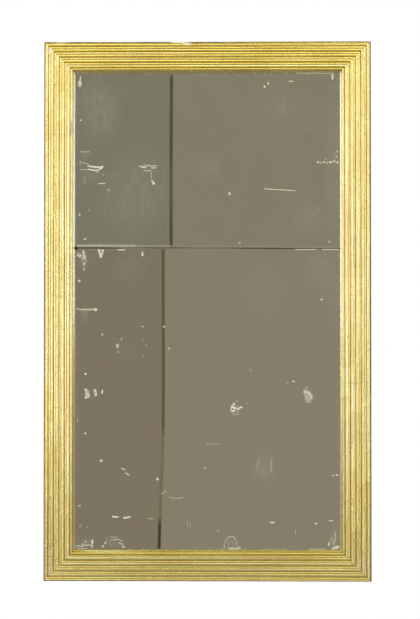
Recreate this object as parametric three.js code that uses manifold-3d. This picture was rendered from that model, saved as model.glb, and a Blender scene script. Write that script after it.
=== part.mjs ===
// A tall giltwood pier mirror: reeded gilt mouldings glued on a half-lapped pine carcase, two mirror
// plates that meet at a joint, a batten behind the joint, glue blocks, nailed backboards, and a pair
// of iron hangers whose rings swing. Millimetres, +Z up. The front faces -Y and the back lies on y = 0.
import * as THREE from 'three';
import { mergeVertices } from 'three/addons/utils/BufferGeometryUtils.js';
import Module from 'manifold-3d';

const wasm = await Module();
wasm.setup();

// Overall
const overallWidth = 972;
const overallHeight = 1600;

// Carcase: pine members, half lapped at the corners and pegged
const carcaseDepth = 24;
const glassRebateWidth = 12; // the moulding covers the plates' edges by reaching this far past the carcase
const rearRebateWidth = 16;
const pegRadius = 4.5;
const pegSides = 12;
const pegInset = 30; // from both outer edges to the peg's centre

// Gilt moulding: an outer pair of reeds, broad and narrow reeds in turn, then the sight reed and lip
const mouldingReveal = 3; // the carcase shows past the moulding by this
const mouldingDepth = 24;
const outerReedWidths = [6, 6.7];
const broadReedWidth = 9.2;
const narrowReedWidth = 6.8;
const reedPairs = 4;
const sightReedWidth = 8.8;
const sightLipWidth = 3.5;
const sightLipHeight = 11;
const deepQuirk = 5;
const shallowQuirk = 1.5;
const narrowReedDrop = 0.6; // narrow reeds stand this much lower than broad ones
const outerEdgeRound = 4;
const mitreGap = 0.15;
const reedStepsPerSide = 5;

// Mirror plates
const plateThickness = 3.5;
const plateSideClearance = 3;
const plateFootGap = 0.3;
const jointHeight = 186.5; // above the centre of the mirror
const jointFall = 2.6; // the joint runs down this much from left to right
const jointGap = 0.6;

// Batten behind the joint, let into the stiles
const battenHeight = 60;
const battenHousing = 10;
const battenGlassGap = 0.3;

// Wedge-shaped glue blocks that hold the plates forward
const blockLength = 72;
const blockAcross = 13;
const blockBackWidth = 2;
const blockGlassGap = 0.3;
const blocksBesideUpperPlate = 1;
const blocksBesideLowerPlate = 2;
const blocksAlongRail = 2;

// Backboards and their nails
const boardCount = 5;
const boardThickness = 8;
const boardGap = 1.2;
const boardEndClearance = 1;
const boardChamfer = 2;
const nailShortOfFront = 2.8; // the tip stops this far behind the carcase's front
const nailHeadRadius = 3.5;
const nailHeadThickness = 1.6;
const nailShankRadius = 1.3;
const nailTipRadius = 0.5;
const nailSink = 0.2; // head below the board's face
const nailSides = 8;
const nailFromBoardEdge = 24;

// Iron hangers: a strap with a rolled eye, two screws, and a D ring that swings in the eye
const hangerBelowTop = 160; // ring axis below the top edge
const strapWidth = 18;
const strapLength = 84; // from the ring's axis to the strap's foot
const strapThickness = 2;
const ringWireRadius = 2.5;
const ringCornerRadius = 5;
const ringLegLength = 5;
const ringSides = 8;
const ringArcSteps = 8; // for each round corner and for the bow
const eyeClearance = 0.5; // between the ring and its eye, all round
const eyeSideClearance = 1;
const screwFromFoot = 14;
const screwSpacing = 24;
const screwShankRadius = 2;
const screwHeadRadius = 4.2;
const screwHeadHeight = 1.8;
const screwHeadSteps = 3;
const screwShortOfFront = 9;
const screwSides = 12;

const drilledClearance = 0.3;
const overshoot = 1; // how far a cutter reaches past the face it cuts
const samePlace = 0.01; // points nearer than this are one point

// Worked out from the values above
const halfWidth = overallWidth / 2;
const halfHeight = overallHeight / 2;
const sightInset = mouldingReveal + outerReedWidths[0] + outerReedWidths[1]
  + reedPairs * (broadReedWidth + narrowReedWidth) + sightReedWidth + sightLipWidth;
const carcaseMemberWidth = sightInset - glassRebateWidth;
const openHalfWidth = halfWidth - carcaseMemberWidth;
const openHalfHeight = halfHeight - carcaseMemberWidth;
const rebateHalfWidth = openHalfWidth + rearRebateWidth;
const rebateHalfHeight = openHalfHeight + rearRebateWidth;
const plateHalfWidth = openHalfWidth - plateSideClearance;
const plateBack = -carcaseDepth + plateThickness;
const lapDepth = carcaseDepth / 2;
const eyeBoreRadius = ringWireRadius + eyeClearance;
const eyeRadius = eyeBoreRadius + strapThickness;
const ringHalfWidth = strapWidth / 2 + eyeSideClearance + ringCornerRadius;
const screwDrops = [strapLength - screwFromFoot - screwSpacing, strapLength - screwFromFoot];
const ringAxisHeight = halfHeight - hangerBelowTop;
const hangerX = halfWidth - carcaseMemberWidth / 2 + rearRebateWidth / 2;

const finishes = {
  giltWood: { color: 0xd9c27a, roughness: 0.42, metalness: 0.75 },
  pine: { color: 0xa9855a, roughness: 0.8, metalness: 0 },
  backPine: { color: 0x8f7350, roughness: 0.85, metalness: 0 },
  mirrorGlass: { color: 0x82796a, roughness: 0.08, metalness: 0.9 },
  wroughtIron: { color: 0x3b3734, roughness: 0.65, metalness: 0.8 },
};
const materials = {};
for (const [name, values] of Object.entries(finishes)) {
  materials[name] = new THREE.MeshStandardMaterial(values);
}

const pierMirror = new THREE.Group();

function addPiece(name, geometry, material) {
  const piece = new THREE.Mesh(geometry, material);
  piece.name = name;
  pierMirror.add(piece);
}

// Geometry with shared corners merged, as a solid that can be joined and cut
function solidOf(geometry) {
  const bare = geometry.clone();
  bare.deleteAttribute('normal');
  bare.deleteAttribute('uv');
  const merged = mergeVertices(bare, 1e-4);
  return new wasm.Manifold(new wasm.Mesh({
    numProp: 3,
    vertProperties: new Float32Array(merged.attributes.position.array),
    triVerts: new Uint32Array(merged.index.array),
  }));
}

function geometryOf(solid) {
  const cut = solid.getMesh();
  const geometry = new THREE.BufferGeometry();
  geometry.setAttribute('position', new THREE.BufferAttribute(cut.vertProperties, 3));
  geometry.setIndex(new THREE.BufferAttribute(cut.triVerts, 1));
  return geometry;
}

function cutAll(solid, cutters) {
  return cutters.reduce((rest, cutter) => rest.subtract(cutter), solid);
}

// A box between two corners
function block(low, high) {
  const geometry = new THREE.BoxGeometry(high[0] - low[0], high[1] - low[1], high[2] - low[2]);
  geometry.translate((low[0] + high[0]) / 2, (low[1] + high[1]) / 2, (low[2] + high[2]) / 2);
  return solidOf(geometry);
}

// An outline extruded evenly to both sides of its own plane, then turned to lie on the two given axes
function prism(outline, length, across, up) {
  const geometry = new THREE.ExtrudeGeometry(outline, {
    depth: length, bevelEnabled: false, steps: 1, curveSegments: 12,
  });
  geometry.translate(0, 0, -length / 2);
  return turnedOnto(geometry, across, up);
}

function turnedOnto(geometry, across, up) {
  const along = across.clone().cross(up);
  return geometry.applyMatrix4(new THREE.Matrix4().makeBasis(across, up, along));
}

function outlineOf(points) {
  return new THREE.Shape(points.map(([a, b]) => new THREE.Vector2(a, b)));
}

// A turned piece whose axis runs along Y: each profile point is a radius and a y
function turned(profile, sides, x, z) {
  const points = profile.map(([radius, y]) => new THREE.Vector2(radius, y));
  const geometry = new THREE.LatheGeometry(points, sides);
  geometry.translate(x, 0, z);
  return geometry;
}

const axisX = new THREE.Vector3(1, 0, 0);
const axisY = new THREE.Vector3(0, 1, 0);
const axisZ = new THREE.Vector3(0, 0, 1);
const minus = (axis) => axis.clone().negate();

// ---- Gilt moulding ----

// One reed between two quirks: a quarter ellipse up each side to the crown
function reed(from, to, crown, leftDrop, rightDrop) {
  const middle = (from + to) / 2;
  const half = (to - from) / 2;
  const points = [];
  for (let step = 0; step <= 2 * reedStepsPerSide; step += 1) {
    const angle = Math.PI * (1 - step / (2 * reedStepsPerSide));
    const drop = step < reedStepsPerSide ? leftDrop : rightDrop;
    points.push([middle + half * Math.cos(angle), crown - drop * (1 - Math.sin(angle))]);
  }
  return points;
}

// The moulding's section: across from the outer edge, and forward from the carcase
function mouldingOutline() {
  const lowCrown = mouldingDepth - narrowReedDrop;
  const reeds = [
    [outerReedWidths[0], mouldingDepth, outerEdgeRound, shallowQuirk],
    [outerReedWidths[1], lowCrown, shallowQuirk - narrowReedDrop, deepQuirk - narrowReedDrop],
  ];
  for (let pair = 0; pair < reedPairs; pair += 1) {
    reeds.push([broadReedWidth, mouldingDepth, deepQuirk, shallowQuirk]);
    reeds.push([narrowReedWidth, lowCrown, shallowQuirk - narrowReedDrop, deepQuirk - narrowReedDrop]);
  }
  reeds.push([sightReedWidth, mouldingDepth, deepQuirk, deepQuirk]);
  const points = [[mouldingReveal, 0]];
  let across = mouldingReveal;
  for (const [width, crown, leftDrop, rightDrop] of reeds) {
    const arch = reed(across, across + width, crown, leftDrop, rightDrop);
    points.push(...(points.length > 1 ? arch.slice(1) : arch));
    across += width;
  }
  const lipRound = sightLipWidth / 3;
  points.push([across, sightLipHeight]);
  points.push([sightInset - lipRound, sightLipHeight]);
  points.push([sightInset, sightLipHeight - lipRound]);
  points.push([sightInset, 0]);
  return outlineOf(points);
}

// Extruded straight, then both ends drawn in by the distance across, which mitres them
function mitredMoulding(length, across) {
  const geometry = prism(mouldingOutline(), length, axisX, axisY);
  const place = geometry.attributes.position;
  for (let i = 0; i < place.count; i += 1) {
    const reach = length / 2 - place.getX(i) - mitreGap;
    place.setZ(i, Math.sign(place.getZ(i)) * reach);
  }
  return turnedOnto(geometry, across, minus(axisY));
}

function addMouldings() {
  const gilt = materials.giltWood;
  const left = mitredMoulding(overallHeight, axisX);
  const right = mitredMoulding(overallHeight, minus(axisX));
  const top = mitredMoulding(overallWidth, minus(axisZ));
  const bottom = mitredMoulding(overallWidth, axisZ);
  addPiece('moulding_left', left.translate(-halfWidth, -carcaseDepth, 0), gilt);
  addPiece('moulding_right', right.translate(halfWidth, -carcaseDepth, 0), gilt);
  addPiece('moulding_top', top.translate(0, -carcaseDepth, halfHeight), gilt);
  addPiece('moulding_bottom', bottom.translate(0, -carcaseDepth, -halfHeight), gilt);
}

// ---- Nails, pegs and screws, which also drill their own holes ----

function nailProfile(clearance) {
  const headTop = clearance > 0 ? overshoot : -nailSink;
  const headFoot = -nailSink - nailHeadThickness - clearance;
  const tip = -carcaseDepth + nailShortOfFront - clearance;
  return [
    [0, tip],
    [nailTipRadius + clearance, tip + nailTipRadius],
    [nailShankRadius + clearance, headFoot - nailShankRadius],
    [nailHeadRadius + clearance, headFoot],
    [nailHeadRadius + clearance, headTop],
    [0, headTop],
  ];
}

function pegProfile(clearance) {
  const front = clearance > 0 ? -carcaseDepth - overshoot : -carcaseDepth + drilledClearance;
  const back = clearance > 0 ? overshoot : 0;
  const radius = pegRadius + clearance;
  return [[0, front], [radius, front], [radius, back], [0, back]];
}

function screwProfile(clearance) {
  const radius = screwShankRadius + clearance;
  const tip = -carcaseDepth + screwShortOfFront - clearance;
  const shank = [[0, tip], [radius, tip + 2 * screwShankRadius]];
  if (clearance > 0) {
    const outside = strapThickness + overshoot;
    return [...shank, [radius, outside], [0, outside]];
  }
  const dome = Array.from({ length: screwHeadSteps + 1 }, (_, step) => {
    const angle = (Math.PI / 2) * (step / screwHeadSteps);
    const width = step === screwHeadSteps ? 0 : screwHeadRadius * Math.cos(angle);
    return [width, strapThickness + screwHeadHeight * Math.sin(angle)];
  });
  return [...shank, [radius, strapThickness], ...dome];
}

const boardPitch = (2 * (rebateHalfWidth - boardEndClearance) + boardGap) / boardCount;
const boardWidth = boardPitch - boardGap;
const boardCentre = (index) => (index - (boardCount - 1) / 2) * boardPitch;

function nailPlaces() {
  const places = [];
  for (let index = 0; index < boardCount; index += 1) {
    for (const [endName, end] of [['top', 1], ['bottom', -1]]) {
      for (const [sideName, side] of [['a', -1], ['b', 1]]) {
        places.push({
          name: `nail_${endName}_${index + 1}${sideName}`,
          board: index,
          end,
          x: boardCentre(index) + side * (boardWidth / 2 - nailFromBoardEdge),
          z: end * (openHalfHeight + rearRebateWidth / 2),
        });
      }
    }
  }
  return places;
}

const nails = nailPlaces();
const nailHole = ({ x, z }) => solidOf(turned(nailProfile(drilledClearance), nailSides, x, z));

const pegs = [];
for (const [endName, end] of [['top', 1], ['bottom', -1]]) {
  for (const [sideName, side] of [['left', -1], ['right', 1]]) {
    pegs.push({
      name: `corner_peg_${endName}_${sideName}`,
      side,
      end,
      x: side * (halfWidth - pegInset),
      z: end * (halfHeight - pegInset),
    });
  }
}
const pegHole = ({ x, z }) => solidOf(turned(pegProfile(drilledClearance), pegSides, x, z));

const screws = [];
for (const [sideName, side] of [['left', -1], ['right', 1]]) {
  screwDrops.forEach((drop, index) => {
    screws.push({
      name: `hanger_screw_${sideName}_${index === 0 ? 'upper' : 'lower'}`,
      side,
      x: side * hangerX,
      z: ringAxisHeight - drop,
    });
  });
}
const screwHole = ({ x, z }) => solidOf(turned(screwProfile(drilledClearance), screwSides, x, z));

function addFasteners() {
  for (const nail of nails) {
    addPiece(nail.name, turned(nailProfile(0), nailSides, nail.x, nail.z), materials.wroughtIron);
  }
  for (const peg of pegs) {
    addPiece(peg.name, turned(pegProfile(0), pegSides, peg.x, peg.z), materials.pine);
  }
  for (const screw of screws) {
    addPiece(screw.name, turned(screwProfile(0), screwSides, screw.x, screw.z), materials.wroughtIron);
  }
}

// ---- Carcase ----

// The rebate round the back of the opening, which takes the backboards
function rearRebate() {
  return block(
    [-rebateHalfWidth, -boardThickness, -rebateHalfHeight],
    [rebateHalfWidth, overshoot, rebateHalfHeight],
  );
}

function battenHousingCut() {
  const reach = openHalfWidth + battenHousing;
  const half = battenHeight / 2 + drilledClearance;
  return block([-reach, plateBack, jointHeight - half], [reach, overshoot, jointHeight + half]);
}

// A stile keeps the back half of each corner lap
function stile(side) {
  const [low, high] = [side * openHalfWidth, side * halfWidth].sort((a, b) => a - b);
  const front = -carcaseDepth - overshoot;
  const [past, pastEnd] = [high + overshoot, halfHeight + overshoot];
  const cutters = [
    block([low - overshoot, front, openHalfHeight], [past, -lapDepth, pastEnd]),
    block([low - overshoot, front, -pastEnd], [past, -lapDepth, -openHalfHeight]),
    rearRebate(),
    battenHousingCut(),
    ...pegs.filter((peg) => peg.side === side).map(pegHole),
    ...screws.filter((screw) => screw.side === side).map(screwHole),
  ];
  return cutAll(block([low, -carcaseDepth, -halfHeight], [high, 0, halfHeight]), cutters);
}

// A rail keeps the front half
function rail(end) {
  const [low, high] = [end * openHalfHeight, end * halfHeight].sort((a, b) => a - b);
  const [past, pastEnd] = [high + overshoot, halfWidth + overshoot];
  const cutters = [
    block([-pastEnd, -lapDepth, low - overshoot], [-openHalfWidth, overshoot, past]),
    block([openHalfWidth, -lapDepth, low - overshoot], [pastEnd, overshoot, past]),
    rearRebate(),
    ...pegs.filter((peg) => peg.end === end).map(pegHole),
    ...nails.filter((nail) => nail.end === end).map(nailHole),
  ];
  return cutAll(block([-halfWidth, -carcaseDepth, low], [halfWidth, 0, high]), cutters);
}

function addCarcase() {
  addPiece('stile_left', geometryOf(stile(-1)), materials.pine);
  addPiece('stile_right', geometryOf(stile(1)), materials.pine);
  addPiece('rail_top', geometryOf(rail(1)), materials.pine);
  addPiece('rail_bottom', geometryOf(rail(-1)), materials.pine);
}

// ---- Mirror plates, batten and glue blocks ----

function plate(lowLeft, lowRight, highRight, highLeft) {
  const outline = outlineOf([
    [-plateHalfWidth, lowLeft], [plateHalfWidth, lowRight],
    [plateHalfWidth, highRight], [-plateHalfWidth, highLeft],
  ]);
  return prism(outline, plateThickness, axisX, axisZ).translate(0, plateBack - plateThickness / 2, 0);
}

function addPlates() {
  const left = jointHeight + jointFall / 2;
  const right = jointHeight - jointFall / 2;
  const foot = -openHalfHeight + plateFootGap;
  const head = openHalfHeight - plateSideClearance;
  addPiece('mirror_plate_lower', plate(foot, foot, right - jointGap / 2, left - jointGap / 2),
    materials.mirrorGlass);
  addPiece('mirror_plate_upper', plate(left + jointGap / 2, right + jointGap / 2, head, head),
    materials.mirrorGlass);
}

function addBatten() {
  const reach = openHalfWidth + battenHousing - drilledClearance;
  const half = battenHeight / 2;
  const batten = block(
    [-reach, plateBack + battenGlassGap, jointHeight - half],
    [reach, -boardThickness, jointHeight + half],
  );
  addPiece('joint_batten', geometryOf(batten), materials.pine);
}

// A wedge-shaped block: one leg on the carcase's inner edge, the other just behind the glass
function glueBlock(across, x, z) {
  const front = plateBack + blockGlassGap;
  const back = -boardThickness - blockGlassGap;
  const outline = outlineOf([[0, front], [blockAcross, front], [blockBackWidth, back], [0, back]]);
  return prism(outline, blockLength, across, axisY).translate(x, 0, z);
}

// The middles of a run of evenly spread blocks
function spread(from, to, count) {
  return Array.from({ length: count }, (_, index) => from + ((to - from) * (index + 0.5)) / count);
}

function addGlueBlocks() {
  const jointClear = battenHeight / 2 + blockGlassGap;
  const upper = spread(jointHeight + jointClear, openHalfHeight, blocksBesideUpperPlate);
  const lower = spread(-openHalfHeight, jointHeight - jointClear, blocksBesideLowerPlate);
  const { pine } = materials;
  [...lower, ...upper].forEach((middle, index) => {
    addPiece(`glue_block_left_${index + 1}`, glueBlock(axisX, -openHalfWidth, middle), pine);
    addPiece(`glue_block_right_${index + 1}`, glueBlock(minus(axisX), openHalfWidth, middle), pine);
  });
  spread(-openHalfWidth, openHalfWidth, blocksAlongRail).forEach((middle, index) => {
    addPiece(`glue_block_top_${index + 1}`, glueBlock(minus(axisZ), middle, openHalfHeight), pine);
    addPiece(`glue_block_bottom_${index + 1}`, glueBlock(axisZ, middle, -openHalfHeight), pine);
  });
}

// ---- Backboards ----

function addBackboards() {
  const reach = rebateHalfHeight - boardEndClearance;
  const half = boardWidth / 2;
  const outline = outlineOf([
    [-half, -boardThickness], [half, -boardThickness], [half, -boardChamfer],
    [half - boardChamfer, 0], [-half + boardChamfer, 0], [-half, -boardChamfer],
  ]);
  for (let index = 0; index < boardCount; index += 1) {
    const geometry = prism(outline, 2 * reach, axisX, axisY).translate(boardCentre(index), 0, 0);
    const holes = nails.filter((nail) => nail.board === index).map(nailHole);
    addPiece(`backboard_${index + 1}`, geometryOf(cutAll(solidOf(geometry), holes)), materials.backPine);
  }
}

// ---- Hangers ----

// Side view of the strap: a flat plate on the stile whose top end is rolled into an eye
function strapSideView() {
  const closing = Math.sqrt(eyeRadius ** 2 - (eyeRadius - strapThickness) ** 2);
  const outline = new THREE.Shape();
  outline.moveTo(0, -strapLength);
  outline.lineTo(strapThickness, -strapLength);
  outline.lineTo(strapThickness, -closing);
  const from = Math.atan2(-closing, strapThickness - eyeRadius);
  outline.absarc(eyeRadius, 0, eyeRadius, from, Math.PI, false);
  outline.lineTo(0, -strapLength);
  const bore = new THREE.Path();
  bore.absarc(eyeRadius, 0, eyeBoreRadius, 0, 2 * Math.PI, true);
  outline.holes.push(bore);
  return outline;
}

// Front view of the strap: straight sides and a round foot
function strapFrontView() {
  const half = strapWidth / 2;
  const outline = new THREE.Shape();
  outline.moveTo(half, -strapLength + half);
  outline.lineTo(half, 2 * eyeRadius);
  outline.lineTo(-half, 2 * eyeRadius);
  outline.lineTo(-half, -strapLength + half);
  outline.absarc(0, -strapLength + half, half, Math.PI, 2 * Math.PI, false);
  return outline;
}

function strap(side) {
  const bar = prism(strapSideView(), strapWidth, axisY, axisZ);
  const shaped = prism(strapFrontView(), 4 * eyeRadius, axisX, axisZ);
  const holes = screws.filter((screw) => screw.side === side).map(screwHole);
  const whole = solidOf(bar).intersect(solidOf(shaped)).translate([side * hangerX, 0, ringAxisHeight]);
  return geometryOf(cutAll(whole, holes));
}

// The D ring's centre line, hanging from its straight bar
function ringPath() {
  const bow = -ringCornerRadius - ringLegLength;
  const corner = ringHalfWidth - ringCornerRadius;
  const path = new THREE.Path();
  path.moveTo(-corner, 0);
  path.lineTo(corner, 0);
  path.absarc(corner, -ringCornerRadius, ringCornerRadius, Math.PI / 2, 0, true);
  path.lineTo(ringHalfWidth, bow);
  path.absarc(0, bow, ringHalfWidth, 0, -Math.PI, true);
  path.lineTo(-ringHalfWidth, -ringCornerRadius);
  path.absarc(-corner, -ringCornerRadius, ringCornerRadius, Math.PI, Math.PI / 2, true);
  const points = path.getPoints(ringArcSteps);
  return points.filter((point, i) => point.distanceTo(points[(i + 1) % points.length]) > samePlace);
}

// Round wire swept along the closed centre line, in a plane behind the stile
function dRing(side) {
  const centres = ringPath();
  const count = centres.length;
  const places = [];
  const faces = [];
  centres.forEach((centre, i) => {
    const before = centres[(i + count - 1) % count];
    const after = centres[(i + 1) % count];
    const along = after.clone().sub(before).normalize();
    for (let j = 0; j < ringSides; j += 1) {
      const angle = (2 * Math.PI * j) / ringSides;
      const outward = ringWireRadius * Math.cos(angle);
      places.push(
        side * hangerX + centre.x - along.y * outward,
        eyeRadius + ringWireRadius * Math.sin(angle),
        ringAxisHeight + centre.y + along.x * outward,
      );
      const here = i * ringSides + j;
      const next = ((i + 1) % count) * ringSides + j;
      const hereUp = i * ringSides + ((j + 1) % ringSides);
      const nextUp = ((i + 1) % count) * ringSides + ((j + 1) % ringSides);
      faces.push(here, next, hereUp, next, nextUp, hereUp);
    }
  });
  const geometry = new THREE.BufferGeometry();
  geometry.setAttribute('position', new THREE.Float32BufferAttribute(places, 3));
  geometry.setIndex(faces);
  return geometry;
}

function addHangers() {
  for (const [sideName, side] of [['left', -1], ['right', 1]]) {
    addPiece(`hanger_strap_${sideName}`, strap(side), materials.wroughtIron);
    addPiece(`hanger_ring_${sideName}`, dRing(side), materials.wroughtIron);
  }
}

addCarcase();
addMouldings();
addPlates();
addBatten();
addGlueBlocks();
addBackboards();
addHangers();
addFasteners();

export default pierMirror;
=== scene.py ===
import bmesh
import bpy
import math
from functools import partial
from mathutils import Matrix, Vector, geometry, noise


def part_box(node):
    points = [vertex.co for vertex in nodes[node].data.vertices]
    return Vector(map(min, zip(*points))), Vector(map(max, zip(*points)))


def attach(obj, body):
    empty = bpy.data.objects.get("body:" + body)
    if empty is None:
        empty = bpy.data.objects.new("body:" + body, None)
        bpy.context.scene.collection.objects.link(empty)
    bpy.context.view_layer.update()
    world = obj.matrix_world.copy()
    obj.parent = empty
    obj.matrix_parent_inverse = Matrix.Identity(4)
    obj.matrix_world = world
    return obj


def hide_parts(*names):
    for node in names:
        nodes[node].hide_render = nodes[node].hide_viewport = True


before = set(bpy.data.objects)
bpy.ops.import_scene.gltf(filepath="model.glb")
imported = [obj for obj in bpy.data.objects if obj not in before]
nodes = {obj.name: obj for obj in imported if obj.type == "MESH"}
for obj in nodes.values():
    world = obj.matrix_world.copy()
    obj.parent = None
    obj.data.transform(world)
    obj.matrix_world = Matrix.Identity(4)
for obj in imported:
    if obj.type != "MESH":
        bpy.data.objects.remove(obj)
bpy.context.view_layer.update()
scene = bpy.context.scene
print("frame loaded,", len(nodes), "nodes")

# camera, white surround, lamps and the plain flats that the plates reflect
studio = {
    "lens": 77.88, "distance": 4.0, "aside": 0.0508, "below": 0.0533, "pitch": 0.826, "turn": 0.6185,
    "surround": (0.17, 0.15, 0.10), "surroundStrength": 1.0, "white": (1, 1, 1),
    # place and target at the right, width, height, watts at the left and right, colour
    "lamps": {
        "near": ((1.85, -4.0, 0.05), (0.2, 0, -0.2), 1.0, 3.6, (30, 30), (1, 0.985, 0.88)),
        "wide": ((3.0, -1.9, 0.75), (0, 0, 0.3), 1.5, 3.0, (40, 22), (0.96, 1, 1.26)),
        "behind": ((2.0, 3.0, 1.1), (0, 0, 0), 1.8, 2.2, (45, 45), (1, 0.97, 0.92))},
    "overhead": ((0, -3.0, 2.6), (0, 0, -0.8), 3.2, 2.6, 47, (1, 0.88, 0.31)), "floorHeight": -1.6,
    "floorRadius": 3.1, "floorSides": 96, "floorRoughness": 0.7, "floorReflected": 0.7,
    "floorPale": ((0.83, 0.82, 0.80), (0.88, 0.87, 0.85)), "floorDim": (0.24, 0.23, 0.21),
    "flatDistance": 8.0, "flatReach": 12, "flatFoot": -4, "flatTop": 5, "gapPlace": -0.4244,
    "gapWidth": 0.027, "flatSpan": 2.4, "bend": (0.60, 0.74),
    "flatLeft": ((0.250, 0.212, 0.152), (0.238, 0.224, 0.168)),
    "flatRight": ((0.289, 0.252, 0.186), (0.276, 0.248, 0.180)),
    "gapTones": [(-1.80, (0.062, 0.050, 0.027)), (-1.72, (0.205, 0.178, 0.098)),
                 (-1.02, (0.205, 0.178, 0.098)), (-0.92, (0.13, 0.10, 0.055)), (0.64, (0.13, 0.10, 0.055)),
                 (0.70, (0.098, 0.084, 0.046))],
}


def softbox(name, place, target, width, height, watts, colour):
    lamp = bpy.data.lights.new(name, "AREA")
    lamp.shape, lamp.size, lamp.size_y = "RECTANGLE", width, height
    lamp.energy, lamp.color = watts, colour
    box = bpy.data.objects.new(name, lamp)
    box.location = place
    box.rotation_euler = (Vector(target) - box.location).to_track_quat("-Z", "Y").to_euler()
    box.visible_camera = False
    scene.collection.objects.link(box)


# nodes are added to the tree that begin was last called with
building = {}


def begin(tree):
    building["tree"] = tree
    return tree


def link(source, target):
    building["tree"].links.new(source, target)


def addNode(kind, inputs=None, **props):
    made = building["tree"].nodes.new(kind)
    for name, value in props.items():
        setattr(made, name, value)
    for name, value in (inputs or {}).items():
        if isinstance(value, bpy.types.NodeSocket):
            link(value, made.inputs[name])
        else:
            made.inputs[name].default_value = value
    return made


def calc(operation, a, b=0.0, c=0.0, clamp=False):
    return addNode("ShaderNodeMath", {0: a, 1: b, 2: c}, operation=operation, use_clamp=clamp).outputs[0]


plus, minus, times, over, timesPlus = (
    partial(calc, each) for each in ("ADD", "SUBTRACT", "MULTIPLY", "DIVIDE", "MULTIPLY_ADD"))
most, least, absolute, floor, root, sine = (
    partial(calc, each) for each in ("MAXIMUM", "MINIMUM", "ABSOLUTE", "FLOOR", "SQRT", "SINE"))


def combine(x=0.0, y=0.0, z=0.0):
    return addNode("ShaderNodeCombineXYZ", {0: x, 1: y, 2: z}).outputs[0]


def split(vector):
    return addNode("ShaderNodeSeparateXYZ", {0: vector}).outputs


def remap(value, low, high, toLow=0.0, toHigh=1.0, kind="SMOOTHSTEP"):
    return addNode("ShaderNodeMapRange", {"Value": value, "From Min": low, "From Max": high,
                   "To Min": toLow, "To Max": toHigh}, interpolation_type=kind).outputs[0]


def tint(amount, first, second):
    full = lambda c: (*c, 1) if isinstance(c, tuple) and len(c) == 3 else c
    return addNode("ShaderNodeMix", {0: amount, 6: full(first), 7: full(second)}, data_type="RGBA").outputs[2]


def grit(vector, scale, detail=2.0, rough=0.5, twist=0.0):
    return addNode("ShaderNodeTexNoise", {"Vector": vector, "Scale": scale, "Detail": detail,
                   "Roughness": rough, "Distortion": twist}).outputs[0]


def stretch(vector, scale, move=(0, 0, 0), turn=(0, 0, 0)):
    return addNode("ShaderNodeMapping", {"Vector": vector, "Location": move, "Rotation": turn,
                   "Scale": scale}).outputs[0]


def comb(vector, scale, detail=2.0, rough=0.5, move=(0, 0, 0)):
    return grit(stretch(vector, scale, move), 1.0, detail, rough)


def carried(name):
    return addNode("ShaderNodeAttribute", attribute_name=name).outputs["Fac"]


def newMaterial(name):
    material = bpy.data.materials.new(name)
    material.use_nodes = True
    begin(material.node_tree)
    at = addNode("ShaderNodeTexCoord").outputs["Object"]
    return material, material.node_tree.nodes["Principled BSDF"], at


def wire(shader, **sockets):
    names = {"colour": "Base Color", "metal": "Metallic", "rough": "Roughness", "normal": "Normal",
             "coat": "Coat Weight"}
    for key, value in sockets.items():
        link(value, shader.inputs[names[key]])


def relief(height, depth, strength=1.0):
    return addNode("ShaderNodeBump", {"Height": height, "Distance": depth, "Strength": strength}).outputs[0]


def linked(name, mesh, material=None):
    obj = bpy.data.objects.new(name, mesh)
    scene.collection.objects.link(obj)
    if material:
        obj.data.materials.append(material)
    return obj


def meshFrom(work, name):
    mesh = bpy.data.meshes.new(name)
    work.to_mesh(mesh)
    work.free()
    return mesh


def smoothed(mesh, degrees):
    mesh.polygons.foreach_set("use_smooth", [True] * len(mesh.polygons))
    mesh.set_sharp_from_angle(angle=math.radians(degrees))
    mesh.update()
    return mesh


def glowing(name, stops, reach=3.0):
    # a plain glow whose tone changes with height, from stops of height and colour
    material, shader, at = newMaterial(name)
    ramp = addNode("ShaderNodeValToRGB", {0: remap(split(at)[2], -reach, reach, kind="LINEAR")})
    share = lambda height: (height + reach) / (2 * reach)
    elements = ramp.color_ramp.elements
    for element, (height, colour) in zip(list(elements), (stops[0], stops[-1])):
        element.position, element.color = share(height), (*colour, 1)
    for height, colour in stops[1:-1]:
        elements.new(share(height)).color = (*colour, 1)
    glow = addNode("ShaderNodeEmission", {"Color": ramp.outputs[0]})
    link(glow.outputs[0], material.node_tree.nodes["Material Output"].inputs[0])
    material.node_tree.nodes.remove(shader)
    return material


def buildFlat(name, left, right, stops, s):
    # a flat that is only seen in reflections
    y, low, high = -s["flatDistance"], s["flatFoot"], s["flatTop"]
    mesh = bpy.data.meshes.new(name)
    mesh.from_pydata([(left, y, low), (right, y, low), (right, y, high), (left, y, high)], [], [(0, 1, 2, 3)])
    flat = linked(name, mesh, glowing(name, stops))
    for ray in ("camera", "diffuse", "transmission", "volume_scatter", "shadow"):
        setattr(flat, "visible_" + ray, False)


def buildFloor(s):
    # pale and matt, dimmer in reflections, and not there when it is looked at from below
    mesh = bpy.data.meshes.new("floor")
    angles = [2 * math.pi * i / s["floorSides"] for i in range(s["floorSides"])]
    mesh.from_pydata([(s["floorRadius"] * math.cos(a), s["floorRadius"] * math.sin(a), s["floorHeight"])
                      for a in angles], [], [list(range(s["floorSides"]))])
    material, shader, at = newMaterial("paleFloor")
    tone = tint(remap(grit(at, 3.0, 4), 0.3, 0.7), *s["floorPale"])
    reflected = times(addNode("ShaderNodeLightPath").outputs["Is Glossy Ray"], s["floorReflected"])
    wire(shader, colour=tint(reflected, tone, s["floorDim"]))
    shader.inputs["Roughness"].default_value = s["floorRoughness"]
    under = addNode("ShaderNodeNewGeometry").outputs["Backfacing"]
    clear = addNode("ShaderNodeBsdfTransparent")
    both = addNode("ShaderNodeMixShader", {0: under, 1: shader.outputs[0], 2: clear.outputs[0]})
    link(both.outputs[0], material.node_tree.nodes["Material Output"].inputs[0])
    linked("floor", mesh, material)


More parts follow.
